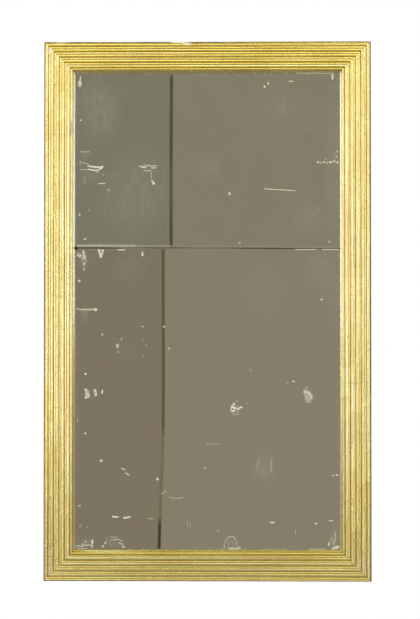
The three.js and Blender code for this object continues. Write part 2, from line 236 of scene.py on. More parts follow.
def buildStudio(s):
    camera = bpy.data.objects.new("camera", bpy.data.cameras.new("camera"))
    camera.data.lens = s["lens"]
    camera.location = (s["aside"], -s["distance"], -s["below"])
    camera.rotation_euler = (math.radians(90 + s["pitch"]), 0, math.radians(s["turn"]))
    scene.collection.objects.link(camera)
    scene.camera = camera
    scene.view_settings.view_transform = "Standard"

    world = bpy.data.worlds.new("studioAir")
    world.use_nodes = True
    scene.world = world
    tree = begin(world.node_tree)
    dim = tree.nodes["Background"]
    dim.inputs["Color"].default_value = (*s["surround"], 1)
    dim.inputs["Strength"].default_value = s["surroundStrength"]
    white = addNode("ShaderNodeBackground", {"Color": (*s["white"], 1), "Strength": 1.0})
    seen = addNode("ShaderNodeLightPath").outputs["Is Camera Ray"]
    both = addNode("ShaderNodeMixShader", {0: seen, 1: dim.outputs[0], 2: white.outputs[0]})
    link(both.outputs[0], tree.nodes["World Output"].inputs[0])

    # large boxes to the left and right in front of the mirror and behind it, and one overhead
    for side, name in ((-1, "Left"), (1, "Right")):
        for label, (spot, target, width, height, watts, colour) in s["lamps"].items():
            toSide = lambda point: (side * point[0], *point[1:])
            softbox(label + name, toSide(spot), toSide(target), width, height, watts[side > 0], colour)
    softbox("overhead", *s["overhead"])
    buildFloor(s)

    # two flats with a narrow gap between them, far behind the camera
    left, right = s["gapPlace"] - s["gapWidth"] / 2, s["gapPlace"] + s["gapWidth"] / 2
    for name, edges in (("flatLeft", (-s["flatReach"], left)), ("flatRight", (right, s["flatReach"]))):
        (low, high), (first, last), span = s[name], s["bend"], s["flatSpan"]
        buildFlat(name, *edges, [(-span, low), (first, low), (last, high), (span, high)], s)
    buildFlat("flatGap", left, right, s["gapTones"], s)


buildStudio(studio)
print("studio ready")


# shader groups, each built once and placed with its own values, and geometry trees
def newGroup(name, inputs, outputs, kind="ShaderNodeTree"):
    tree = begin(bpy.data.node_groups.new(name, kind))
    for label, socketKind, *value in inputs:
        socket = tree.interface.new_socket(label, in_out="INPUT", socket_type="NodeSocket" + socketKind)
        if value:
            socket.default_value = value[0]
    for label, socketKind in outputs:
        tree.interface.new_socket(label, in_out="OUTPUT", socket_type="NodeSocket" + socketKind)
    return tree, addNode("NodeGroupInput").outputs, addNode("NodeGroupOutput").inputs


def newGeometryTree(name, inputs):
    tree, given, out = newGroup(name, inputs, [("Geometry", "Geometry")], "GeometryNodeTree")
    tree.is_modifier = True
    return tree, given, out["Geometry"]


def finishGeometry(made, finish, out):
    whole = addNode("GeometryNodeRealizeInstances", {0: made}).outputs[0]
    link(addNode("GeometryNodeSetMaterial", {"Geometry": whole, "Material": finish}).outputs[0], out)


def place(group, **inputs):
    return addNode("ShaderNodeGroup", inputs, node_tree=group).outputs


def buildWoodGrain():
    # growth rings cut flat, with fine fibres; X of Place runs along the grain
    tree, given, out = newGroup("woodGrain", [
        ("Place", "Vector"), ("Seed", "Float", 0.0), ("RingGap", "Float", 0.007),
        ("Early", "Color", (0.5, 0.36, 0.2, 1)), ("Late", "Color", (0.3, 0.18, 0.08, 1))],
        [("Colour", "Color"), ("Height", "Float"), ("Streak", "Float")])
    shift = combine(times(given["Seed"], 3.17), times(given["Seed"], 0.013))
    p = addNode("ShaderNodeVectorMath", {0: given["Place"], 1: shift}, operation="ADD").outputs[0]
    x, y, z = split(p)
    warp = minus(comb(p, (1.7, 6, 6), 3), 0.5)
    lane = timesPlus(warp, 0.09, y)
    deep = plus(z, 0.055)
    radius = root(plus(times(lane, lane), times(deep, deep)))
    turns = times(over(radius, given["RingGap"]), 2 * math.pi)
    late = remap(sine(turns), -0.1, 1.0)
    fibre = comb(p, (18, 700, 700), 3, 0.6)
    pore = remap(comb(p, (45, 1500, 1500), 2), 0.62, 0.72)
    broad = comb(p, (2.5, 14, 14), 2)
    amount = timesPlus(late, 0.6, times(fibre, 0.55))
    amount = timesPlus(broad, 0.35, minus(amount, 0.30), clamp=True)
    link(tint(amount, given["Early"], given["Late"]), out["Colour"])
    height = timesPlus(late, 0.5, times(fibre, 0.5))
    link(minus(height, times(pore, 0.4)), out["Height"])
    link(amount, out["Streak"])
    return tree


def buildArrisWear():
    # the eased edges carry an "arris" value; wear breaks it up and lets it run a little
    tree, given, out = newGroup("arrisWear", [("Place", "Vector"), ("Amount", "Float", 0.5)],
                                [("Mask", "Float")])
    arris = carried("arris")
    broken = grit(given["Place"], 60, 4, 0.65)
    keep = remap(broken, minus(0.75, times(given["Amount"], 0.5)), 0.62)
    link(times(arris, keep), out["Mask"])
    return tree


def buildGrime():
    # dirt that gathers in blotches and streaks, and dust on whatever faces up
    tree, given, out = newGroup("grime", [("Place", "Vector"), ("Size", "Float", 12.0),
                                ("Amount", "Float", 0.5)],
                                [("Mask", "Float"), ("Dust", "Float"), ("Speck", "Float")])
    blotch = grit(given["Place"], given["Size"], 5, 0.6, 0.3)
    low = minus(0.8, times(given["Amount"], 0.45))
    link(remap(blotch, low, plus(low, 0.22)), out["Mask"])
    up = split(addNode("ShaderNodeNewGeometry").outputs["Normal"])[2]
    lie = times(remap(up, 0.55, 1.0), remap(grit(given["Place"], 90, 4), 0.3, 0.65))
    link(lie, out["Dust"])
    dots = addNode("ShaderNodeTexVoronoi", {"Vector": given["Place"], "Scale": 190.0}).outputs["Distance"]
    some = remap(grit(given["Place"], 35, 2), 0.64, 0.74)
    link(times(remap(dots, 0.24, 0.12), some), out["Speck"])
    return tree


def buildRust():
    tree, given, out = newGroup("rust", [("Place", "Vector"), ("Amount", "Float", 0.5)],
                                [("Colour", "Color"), ("Mask", "Float"), ("Height", "Float")])
    coarse = grit(given["Place"], 130, 6, 0.65)
    fine = grit(given["Place"], 620, 4, 0.6)
    low = minus(0.72, times(given["Amount"], 0.45))
    mask = remap(coarse, low, plus(low, 0.14))
    link(tint(remap(fine, 0.3, 0.7), (0.085, 0.032, 0.014), (0.27, 0.115, 0.045)), out["Colour"])
    link(mask, out["Mask"])
    link(timesPlus(mask, 0.5, times(fine, 0.5)), out["Height"])
    return tree


def buildMark():
    # one marked place: an oval about Centre, turned and ragged at its rim; it serves losses, dark marks,
    # painted shade and painted highlights
    tree, given, out = newGroup("mark", [
        ("Place", "Vector"), ("Centre", "Vector"), ("Turn", "Vector"), ("Size", "Vector"),
        ("Rag", "Float", 0.0), ("Soft", "Float", 0.3)], [("Mask", "Float")])
    oval = {"Vector": given["Place"], "Location": given["Centre"], "Rotation": given["Turn"],
            "Scale": given["Size"]}
    local = addNode("ShaderNodeMapping", oval, vector_type="TEXTURE").outputs[0]
    far = addNode("ShaderNodeVectorMath", {0: local}, operation="LENGTH").outputs["Value"]
    far = plus(far, given["Rag"])
    link(remap(far, plus(1.0, times(given["Soft"], 0.5)), minus(1.0, given["Soft"])), out["Mask"])
    return tree


woodGrain, arrisWear, grime, rust, mark = (
    buildWoodGrain(), buildArrisWear(), buildGrime(), buildRust(), buildMark())


def markedBy(flat, marks, rag, soft):
    # the strongest of a table of marks: x, z, width, height in millimetres, turn in degrees, strength
    total = None
    for x, z, wide, high, turn, strength in marks.values():
        one = place(mark, Place=flat, Centre=(x / 1000, z / 1000, 0), Turn=(0, 0, math.radians(turn)),
                    Size=(wide / 2000, high / 2000, 1), Rag=rag, Soft=soft)[0]
        one = times(one, strength)
        total = one if total is None else most(total, one)
    return total


def flatOn(at):
    x, y, z = split(at)
    return combine(x, z)


# gilding: leaf over ochre bole over white gesso, rubbed on the crowns, grimy and with painted shade in the
# quirks, with painted highlights and painted shade at the sight edges
gilding = {
    "leaf": (0.87, 0.755, 0.28), "leafDeep": (0.72, 0.56, 0.15), "leafWarm": (0.87, 0.66, 0.26),
    "leafGreen": (0.79, 0.72, 0.25), "leafHighlightPale": (0.95, 0.94, 0.66), "leafHighlightWhite": (0.97, 0.92, 0.74),
    "bole": (0.52, 0.31, 0.09), "paint": (0.040, 0.028, 0.014), "paintEdge": 0.0064,
    # grime is the colour of real dirt, and also of the painted shade in the quirks and along the sight edges
    "gesso": (0.92, 0.90, 0.84), "grime": (0.25, 0.17, 0.05), "wood": (0.23, 0.14, 0.07), "roughness": 0.28,
    "leafSide": 0.081, "leafCourse": 0.0315, "frontSide": 0.034, "runOut": 1.25, "tooth": 0.00022,
    "ragged": 0.0022, "paintSoft": 0.0007, "coat": 0.9, "coatRoughness": 0.25, "coatIor": 1.75,
    "losses": {
        # the white patch across the top left mitre is a gesso loss that also stands in for a painted
        # highlight there
        "mitreLossAndHighlight": (-466.5, 771, 18, 9, 62, 1.0), "mitreTopLeftEdge": (-476, 779, 8, 5, 20, 0.8),
        "topEdge": (-80, 797, 62, 9, 2, 1.0), "topEdgeTongue": (-62, 791, 30, 9, -8, 0.8),
        "topEdgeLeft": (-430, 795, 48, 5, 4, 0.45), "mitreTopRight": (468, 783, 10, 4, -45, 0.4),
        "sightChip": (-391, 0, 5, 14, 0, 0.5), "cornerBottomLeft": (-478, -690, 7, 9, 0, 0.4),
        "bottomEdge": (220, -797, 26, 4, 0, 0.35)},
    # painted highlights: bright lines along the sight edges and a faint lightening of the bottom member
    "paintedHighlights": {
        "sightLeft": (-395.4, 322, 5.0, 800, 0, 1.0), "sightBottom": (-300, -710.5, 140, 4.4, -0.3, 0.9),
        "sightRight": (395.6, 300, 4.0, 900, 0, 0.6), "footRail": (0, -762, 1400, 84, 0, 0.16)},
    "darks": {
        "cornerDot": (-481, 783, 5, 5, 0, 1.0), "dotA": (-453, 757, 5, 4, 30, 0.9),
        "dotB": (-449, 746, 4, 5, 0, 0.9), "dotC": (-455, 748, 3, 4, 0, 0.8),
        "outerEdge": (-484, 736, 5, 18, 0, 0.7), "crackHigh": (-440, 522, 92, 2.4, 1, 0.28),
        "crackMid": (-440, 463, 92, 2.2, -1, 0.22), "innerBand": (-402, 541, 9, 52, 0, 0.5),
        "sightChipA": (-393, 8, 4, 4, 0, 1.0), "sightChipB": (-390, -6, 5, 4, 0, 1.0),
        "rightDotA": (391, 664, 3, 4, 0, 0.8), "rightDotB": (392, 655, 3, 4, 0, 0.7),
        "shadeLow": (-474, -688, 26, 3, 0, 0.6), "crackRight": (440, -212, 92, 2.6, 1, 0.4),
        "crackTop": (148, 754, 2.6, 92, 0, 0.4), "jointNotch": (-396, 186, 8, 6, 0, 1.0),
        # the dark lines along the lower left, top and foot sight edges are painted shade
        "jointNotchUp": (-397.5, 208, 2.6, 46, 0, 0.9), "sightLeftLowShade": (-396.4, -400, 5.5, 700, 0, 0.75),
        "sightTopShade": (0, 709.6, 860, 3.4, 0, 0.8), "sightFootShade": (60, -709, 700, 2.4, 0, 0.6)},
}


def giltMaterial(s):
    material, shader, at = newMaterial("giltLeaf")
    across, crown, sunk, along = (carried(name) for name in ("across", "crown", "sunk", "along"))
    line = combine(along, across)
    flat = flatOn(at)
    # marks made on the front run out down the outer sides
    down = most(plus(split(at)[1], s["frontSide"]), 0.0)
    flat = addNode("ShaderNodeVectorMath", {0: flat, "Scale": timesPlus(down, s["runOut"], 1.0)},
                   operation="SCALE").outputs[0]
    # leaves laid one after another, each course a little shifted
    course = floor(over(across, s["leafCourse"]))
    step = plus(over(along, s["leafSide"]), times(course, 0.37))
    step = timesPlus(grit(line, 9, 2), 0.22, step)
    leaf = combine(floor(step), course)
    leafTone = addNode("ShaderNodeTexWhiteNoise", {"Vector": leaf}, noise_dimensions="3D").outputs["Value"]
    lap = remap(calc("PINGPONG", step, 0.5), 0.022, 0.004)
    cloudy = comb(line, (14, 60, 1), 4, 0.6)
    depth = timesPlus(leafTone, 0.30, times(cloudy, 0.75))
    colour = tint(remap(depth, 0.25, 0.85), s["leaf"], s["leafDeep"])
    drift = comb(line, (7, 75, 1), 3, move=(3, 0, 0))
    colour = tint(remap(drift, 0.52, 0.72, 0.0, 0.75), colour, s["leafWarm"])
    colour = tint(remap(drift, 0.46, 0.30, 0.0, 0.75), colour, s["leafGreen"])
    # long streaks along the reeds: the pale ones are painted highlight streaks over the leaf tone, the darker
    # ones are leaf tone
    toneAndHighlightStreak = comb(line, (1.6, 170, 1), 2, 0.5, move=(7, 0, 0))
    colour = tint(remap(toneAndHighlightStreak, 0.53, 0.68, 0.0, 0.75), colour, s["leafHighlightPale"])
    colour = tint(remap(toneAndHighlightStreak, 0.46, 0.32, 0.0, 0.45), colour, s["leafDeep"])
    # bole showing on rubbed crowns and through skewings at the laps
    rubbing = comb(line, (30, 420, 1), 5, 0.65)
    rub = times(remap(rubbing, 0.60, 0.72), remap(crown, 0.45, 0.9))
    skewing = times(lap, remap(grit(line, 160, 3), 0.48, 0.6))
    bared = most(times(rub, 0.5), times(skewing, 0.6))
    colour = tint(bared, colour, s["bole"])
    # grime in blotches, and in the quirks a darkening that grows with the quirk's depth: part grime, part
    # painted shade
    dirt = place(grime, Place=at, Size=26.0, Amount=0.5)
    low = calc("POWER", minus(1.0, crown, clamp=True), 2.2)
    quirk = times(low, timesPlus(sunk, 1.05, 0.08), clamp=True)
    quirk = times(quirk, remap(comb(line, (35, 200, 1), 3), 0.2, 0.6, 0.55, 1.0))
    soilAndShade = most(times(quirk, 0.8), times(dirt["Mask"], 0.2))
    soilAndShade = most(soilAndShade, times(dirt["Speck"], 0.1))
    colour = tint(soilAndShade, colour, s["grime"])
    # hairline cracks across the member and the listed dark marks, some of them painted shade along the sight
    # edges, then losses down to gesso
    cell = {"Vector": stretch(line, (8.5, 0.8, 1)), "Scale": 1.0, "Randomness": 1.0}
    cell = addNode("ShaderNodeTexVoronoi", cell, feature="DISTANCE_TO_EDGE").outputs["Distance"]
    wobble = times(grit(line, 120, 2), 0.010)
    crackAndShade = remap(plus(cell, wobble), 0.009, 0.005)
    crackAndShade = times(crackAndShade, remap(grit(line, 22, 2), 0.52, 0.66, 0.0, 0.6))
    rag = minus(grit(at, 330, 4, 0.7), 0.5)
    # the dark marks include painted shade along the sight edges
    darks = markedBy(flat, s["darks"], rag, 0.5)
    crackAndShade = most(crackAndShade, darks)
    colour = tint(times(crackAndShade, 0.8), colour, s["grime"])
    chips = remap(grit(at, 95, 5, 0.68), 0.755, 0.775)
    # painted highlight: the sight edges, and faintly the whole bottom member, are lightened toward pale gold
    colour = tint(markedBy(flat, s["paintedHighlights"], times(rag, 0.3), 0.3), colour, s["leafHighlightWhite"])
    # the outer side is painted dark, with a ragged line, and the losses came after
    ragged = times(minus(comb(line, (40, 260, 1), 4), 0.5), s["ragged"])
    edge = plus(across, ragged)
    painted = remap(edge, s["paintEdge"], s["paintEdge"] - s["paintSoft"])
    colour = tint(times(painted, 0.93), colour, s["paint"])
    lost = most(markedBy(flat, s["losses"], rag, 0.35), chips)
    colour = tint(lost, colour, tint(remap(grit(at, 500, 3), 0.56, 0.72), s["gesso"], s["bole"]))
    lost = most(lost, painted)
    # plain wood and old size on the moulding's hidden back
    bare = remap(plus(crown, sunk), -0.5, -0.9)
    colour = tint(bare, colour, s["wood"])
    dull = most(most(times(soilAndShade, 0.85), lost), bare)
    dull = most(dull, times(bared, 0.5))
    metal = minus(1.0, most(dull, times(crackAndShade, 0.7)), clamp=True)
    rough = timesPlus(cloudy, 0.16, s["roughness"] - 0.08)
    rough = timesPlus(dull, 0.35, rough, clamp=True)
    brushed = comb(line, (55, 900, 1), 3)
    height = timesPlus(brushed, 0.28, times(grit(at, 380, 3), 0.09))
    height = timesPlus(lap, 0.12, height)
    height = minus(height, times(most(crackAndShade, lost), 1.6))
    wire(shader, colour=colour, metal=metal, rough=rough, normal=relief(height, s["tooth"], 0.5),
         coat=times(metal, s["coat"]))
    shader.inputs["Coat Roughness"].default_value = s["coatRoughness"]
    shader.inputs["Coat IOR"].default_value = s["coatIor"]
    return material


# the four reeded members, swept from one section by one tree
moulding = {
    "depth": 0.024, "reveal": 0.003, "outerReeds": (0.006, 0.0067), "broadReed": 0.0092,
    "narrowReed": 0.0068, "pairs": 4, "sightReed": 0.0088, "lipWidth": 0.0035, "lipHeight": 0.011,
    "deepQuirk": 0.005, "shallowQuirk": 0.0015, "narrowDrop": 0.0006, "outerRound": 0.004,
    "mitreGap": 0.00015, "stepsPerSide": 6, "stepAlong": 0.0036, "wander": 0.0005, "wanderLength": 0.12,
    "halfWidth": 0.486, "halfHeight": 0.8, "back": -0.024,
}


def mouldingSection(s):
    # across, height, crown (1 on a crown, 0 in a quirk) and sunk (how deep that quirk is)
    lowCrown = s["depth"] - s["narrowDrop"]
    deep, shallow, drop = s["deepQuirk"], s["shallowQuirk"], s["narrowDrop"]
    reeds = [(s["outerReeds"][0], s["depth"], s["outerRound"], shallow),
             (s["outerReeds"][1], lowCrown, shallow - drop, deep - drop)]
    reeds += [(s["broadReed"], s["depth"], deep, shallow),
              (s["narrowReed"], lowCrown, shallow - drop, deep - drop)] * s["pairs"]
    reeds.append((s["sightReed"], s["depth"], deep, deep))
    across, steps = s["reveal"], s["stepsPerSide"]
    points = [(across, 0.0, -1.0, 0.0), (across, 0.008, 0.5, 0.2), (across, 0.016, 0.6, 0.2)]
    for index, (width, crown, leftDrop, rightDrop) in enumerate(reeds):
        for step in range(0 if index == 0 else 1, 2 * steps + 1):
            angle = math.pi * (1 - step / (2 * steps))
            down = leftDrop if step < steps else rightDrop
            up = math.sin(angle)
            points.append((across + width / 2 + width / 2 * math.cos(angle), crown - down * (1 - up), up,
                           min(1.0, (down + (crown < s["depth"]) * drop) / deep)))
        across += width
    sight, lip = across + s["lipWidth"], s["lipHeight"]
    points[3] = (*points[3][:2], 0.8, 0.1)
    # a short fall from the sight reed, then a lip that slopes in towards the glass
    points += [(across + 0.0001, lip + 0.005, 0.75, 0.2), (across + 0.0003, lip + 0.0026, 0.6, 0.3),
               (across + 0.0007, lip + 0.0017, 0.8, 0.1), (across + 0.0018, lip + 0.0012, 0.95, 0.0),
               (sight - 0.0004, lip + 0.0003, 1.0, 0.0), (sight, lip - 0.0004, 1.0, 0.0),
               (sight, lip / 2, 0.9, 0.1), (sight, 0.0015, 0.7, 0.4), (sight, 0.0005, 0.1, 1.0),
               (sight, 0.0, -1.0, 0.0)]
    return points


def sectionObject(points):
    mesh = bpy.data.meshes.new("mouldingSection")
    count = len(points)
    mesh.from_pydata([(a, h, 0) for a, h, crown, sunk in points],
                     [(i, (i + 1) % count) for i in range(count)], [])
    for name, column in (("across", 0), ("crown", 2), ("sunk", 3)):
        layer = mesh.attributes.new(name, "FLOAT", "POINT")
        layer.data.foreach_set("value", [p[column] for p in points])
    return linked("mouldingSection", mesh)


def buildSweptReeds():
    tree, given, out = newGeometryTree("sweptReeds", [
        ("Section", "Object"), ("Length", "Float"), ("Step", "Float"), ("MitreGap", "Float"),
        ("Wander", "Float"), ("WanderLength", "Float"), ("Seed", "Float"), ("Finish", "Material")])
    half = times(given["Length"], 0.5)
    start = combine(times(half, -1.0))
    end = combine(half)
    line = addNode("GeometryNodeCurvePrimitiveLine", {"Start": start, "End": end})
    fine = addNode("GeometryNodeResampleCurve", {"Curve": line.outputs[0], "Length": given["Step"]},
                   mode="LENGTH")
    shape = addNode("GeometryNodeObjectInfo", {"Object": given["Section"]}).outputs["Geometry"]
    outline = addNode("GeometryNodeMeshToCurve", {0: shape}).outputs[0]
    sweep = {"Curve": fine.outputs[0], "Profile Curve": outline, "Fill Caps": True}
    swept = addNode("GeometryNodeCurveToMesh", sweep).outputs[0]
    x, y, z = split(addNode("GeometryNodeInputPosition").outputs[0])
    # both ends drawn in by the distance across, which mitres them
    reach = minus(plus(half, y), given["MitreGap"])
    along = times(over(x, half), reach)
    # the cutter's hand: reeds wander and swell slightly along their length
    wave = combine(over(along, given["WanderLength"]), times(y, 95.0))
    hand = addNode("ShaderNodeTexNoise", {"Vector": wave, "W": given["Seed"], "Scale": 1.0, "Detail": 3.0},
                   noise_dimensions="4D").outputs["Color"]
    first, second, third = split(hand)
    front = remap(times(z, -1.0), 0.0105, 0.016)
    swing = times(times(given["Wander"], 2.0), front)
    newY = timesPlus(minus(first, 0.5), swing, y)
    newZ = timesPlus(minus(second, 0.45), swing, z)
    spot = combine(along, newY, newZ)
    cut = addNode("GeometryNodeSetPosition", {"Geometry": swept, "Position": spot}).outputs[0]
    stored = addNode("GeometryNodeStoreNamedAttribute", {"Geometry": cut, "Name": "along", "Value": along},
                     data_type="FLOAT", domain="POINT").outputs[0]
    finishGeometry(stored, given["Finish"], out)
    return tree


def madeByNodes(name, tree, values):
    # runs a geometry tree on an empty mesh and keeps the plain result
    host = linked(name, bpy.data.meshes.new(name))
    modifier = host.modifiers.new("made", "NODES")
    modifier.node_group = tree
    for item in tree.interface.items_tree:
        if item.in_out == "INPUT" and item.name in values:
            modifier[item.identifier] = values[item.name]
    deps = bpy.context.evaluated_depsgraph_get()
    mesh = bpy.data.meshes.new_from_object(host.evaluated_get(deps))
    host.modifiers.remove(modifier)
    host.data = mesh
    return host


def buildMouldings(s):
    gilt = giltMaterial(gilding)
    section = sectionObject(mouldingSection(s))
    tree = buildSweptReeds()
    w, h, back = s["halfWidth"], s["halfHeight"], s["back"]
    sides = {"left": ((1, 0, 0), (-w, back, 0), 2 * h), "right": ((-1, 0, 0), (w, back, 0), 2 * h),
             "top": ((0, 0, -1), (0, back, h), 2 * w), "bottom": ((0, 0, 1), (0, back, -h), 2 * w)}
    for seed, (side, (inward, corner, length)) in enumerate(sides.items()):
        piece = madeByNodes("gilt_moulding_" + side, tree, {
            "Section": section, "Length": length, "Step": s["stepAlong"], "MitreGap": s["mitreGap"],
            "Wander": s["wander"], "WanderLength": s["wanderLength"], "Seed": 3.7 + 5.1 * seed,
            "Finish": gilt})
        yAxis, zAxis = -Vector(inward), Vector((0, 1, 0))
        turn = Matrix((yAxis.cross(zAxis), yAxis, zAxis)).transposed().to_4x4()
        piece.data.transform(Matrix.Translation(corner) @ turn)
        smoothed(piece.data, 50)
        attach(piece, "frame")
        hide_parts("moulding_" + side)
    bpy.data.objects.remove(section)


buildMouldings(moulding)
print("mouldings swept")


# the two old plates: silvering with foxing, scratches and cloudy places, ground edges at the joint
plates = {
    "front": -0.024, "back": -0.0205, "arris": 0.0004, "silver": (0.82, 0.83, 0.79), "roughness": 0.012,
    "flake": (0.85, 0.84, 0.77), "flakeDull": (0.54, 0.54, 0.49), "lost": (0.018, 0.013, 0.005),
    "cloud": (0.42, 0.44, 0.42), "haze": (0.57, 0.60, 0.55), "edge": (0.045, 0.058, 0.045),
    "upperSlope": 0.0, "lowerSlope": 0.00448, "lowerBend": 0.0022, "gapLine": -0.135, "ripple": 0.00004,
    "jointWobble": 0.00022, "coarseSkin": 12.0, "jointSteps": 150, "sideSteps": 40,
    "bloom": (0.77, 0.80, 0.73), "warmPatch": (0.84, 0.80, 0.765), "coolPatch": (0.76, 0.80, 0.78),
    "edgeScuffed": (0.15, 0.16, 0.14), "edgeDirt": (0.05, 0.042, 0.03), "edgeDepth": 0.0002,
    "halfWide": 0.394, "halfTall": 0.708, "coatRoughness": 0.02,
}
# spots are x, z, width, height in millimetres, turn in degrees and strength;
# strokes are width and strength, then x and z of each point
upperMarks = {
    "spots": {
        "cornerFlake": (-380, 677, 11, 19, 0, 1.0), "topA": (170, 667, 5, 8, 20, 0.6),
        "topB": (181, 677, 4, 9, 0, 0.6), "topC": (249, 683, 15, 3.5, -4, 0.5),
        "cornerStroke": (372, 697, 6, 18, 0, 0.7), "pairHeart": (-333, 428.5, 13, 5, 0, 1.0),
        "pairUnder": (-327, 413.5, 12, 3, 0, 0.5), "pairDot": (-309, 405, 4, 4, 0, 0.4),
        "midHeart": (-192, 428, 22, 5, -14, 0.55), "drip": (-160, 380, 7, 9, 20, 0.95),
        "smallStroke": (-294, 360, 9, 7, 0, 0.3), "spotMid": (66, 349, 7, 9, 0, 0.6),
        "dotA": (-377, 568, 5, 5, 0, 0.5), "dotB": (-380, 286, 5, 7, 0, 0.65),
        "dotC": (-364, 214, 10, 4, 0, 0.5), "dotD": (96, 202, 6, 7, 0, 0.4),
        "dotE": (362, 206, 5, 7, 0, 0.4), "rowA": (329, 442, 7, 5, 0, 0.8),
        "rowB": (338, 440, 5, 4, 0, 0.6), "rowC": (347, 442, 6, 5, 0, 0.7),
        "rowD": (356, 440, 5, 5, 0, 0.55), "rowE": (366, 442, 9, 5, 0, 0.9),
        "rowF": (377, 444, 7, 5, 0, 0.8), "rowG": (387, 441, 6, 6, 0, 0.7),
        "rowH": (384, 458, 4, 7, 0, 0.45), "rowI": (386, 474, 4, 9, 0, 0.4),
        "rowJ": (352, 451, 6, 3, 30, 0.4), "dotF": (-352, 300, 5, 5, 0, 0.25),
        "dotG": (205, 520, 4, 4, 0, 0.25), "dotH": (-120, 250, 4, 4, 0, 0.25)},
    "strokes": {
        "cornerFlakeTip": (3.5, 0.8, -378, 698, -380, 684),
        "pairTop": (4.2, 1.0, -355, 432, -343, 429, -331, 428.5, -320, 427, -312, 430),
        "pairLow": (3.2, 0.95, -353, 422, -342, 418.5, -329, 419, -318, 422, -312, 427),
        "tailTop": (1.7, 0.5, -381, 444.5, -370, 441, -355, 437),
        "tailMid": (1.5, 0.35, -381, 437, -376, 433), "tailLow": (1.8, 0.45, -378, 420, -353, 420.5),
        "midZigzag": (2.2, 0.6, -189, 435, -181, 430, -174, 434.5, -167, 429.5, -160, 433, -150, 431),
        "midLow": (2.2, 0.6, -189, 417.5, -168, 416.8), "midEnd": (2.4, 0.7, -166, 425.6, -152, 425.6),
        "dripLine": (1.8, 0.45, -167, 416, -166.4, 395), "dripNeck": (3.0, 0.7, -166, 389, -160, 381),
        "shortStroke": (2.4, 0.6, -323, 379, -305, 379), "greyStroke": (3.5, 0.3, -376, 474, -352, 474),
        "faintUpright": (2.5, 0.25, -366, 400, -365, 378),
        "faintUprightTwo": (2.0, 0.2, -373, 396, -373, 380),
        "longScratch": (1.9, 0.95, 168, 363, 214, 360, 262, 357),
        "topLine": (1.7, 0.75, 263, 707, 375, 706.6), "topLineLeft": (1.2, 0.4, -392, 706.6, -352, 706.8),
        "leftEdgeLine": (1.3, 0.5, -393, 700, -392.6, 590),
        "rightArc": (1.6, 0.3, 376, 448, 381, 460, 378, 474), "fineA": (0.9, 0.25, 300, 262, 345, 322),
        "jointBandLeft": (8.5, 0.30, -388, 193.4, -300, 193, -215, 192.8),
        "jointBandMiddle": (7.0, 0.16, -215, 192.4, -110, 192),
        "jointBandRight": (4.0, 0.07, -110, 190.6, 120, 189.8, 380, 189)},
    "speckles": {
        "clusterTop": (-245, 655, 42, 90, 8, 0.5), "clusterRow": (352, 443, 64, 16, 4, 0.9),
        "clusterTopRight": (178, 672, 22, 28, 0, 0.7), "clusterEdge": (345, 520, 50, 200, 0, 0.2),
        "clusterMid": (-170, 423, 76, 52, 0, 0.5), "clusterPair": (-345, 427, 84, 40, 0, 0.4),
        "clusterCorner": (-350, 640, 80, 120, 0, 0.25), "clusterRight": (366, 455, 30, 46, 0, 0.4),
        "jointBits": (-240, 191, 300, 12, 0, 0.35)},
    "clouds": {
        "topLeft": (-325, 600, 160, 230, 12, 0.62), "leftMiddle": (-215, 350, 250, 310, -20, 0.5),
        "middle": (13, 430, 80, 95, 0, 0.45), "topRight": (212, 603, 135, 105, 0, 0.38),
        "rightEdge": (376, 430, 56, 540, 0, 0.6), "lowRight": (300, 270, 160, 140, 10, 0.4),
        "strokeLeft": (-366, 465, 40, 34, 0, 0.5), "jointBand": (-310, 194, 200, 15, 0, 0.8),
        "jointBandRight": (60, 191, 660, 7, 0, 0.4), "scratchHalo": (-340, 400, 90, 60, 0, 0.35)},
    "hazes": {
        "topStreak": (-352, 590, 30, 60, 10, 0.3), "rightStreak": (300, 560, 50, 120, 8, 0.22),
        "heartHaze": (-165, 424, 40, 22, 0, 0.35), "pairHaze": (-332, 424, 56, 22, 0, 0.35),
        "rowHaze": (352, 442, 66, 14, 0, 0.35)},
    "darks": {
        "darkSpot": (304, 543, 6, 9, 0, 0.7), "footLeft": (-325, 187.3, 240, 5.0, -0.19, 1.7),
        "footEnd": (-391, 188.0, 14, 9, 0, 1.6), "footMid": (-150, 187.0, 380, 3.8, -0.19, 1.6),
        "footRight": (140, 186.0, 720, 2.6, -0.19, 1.5), "cornerSmudge": (378, 664, 12, 9, 30, 0.35),
        "topRightSpot": (262, 700, 9, 5, 0, 0.4)},
}
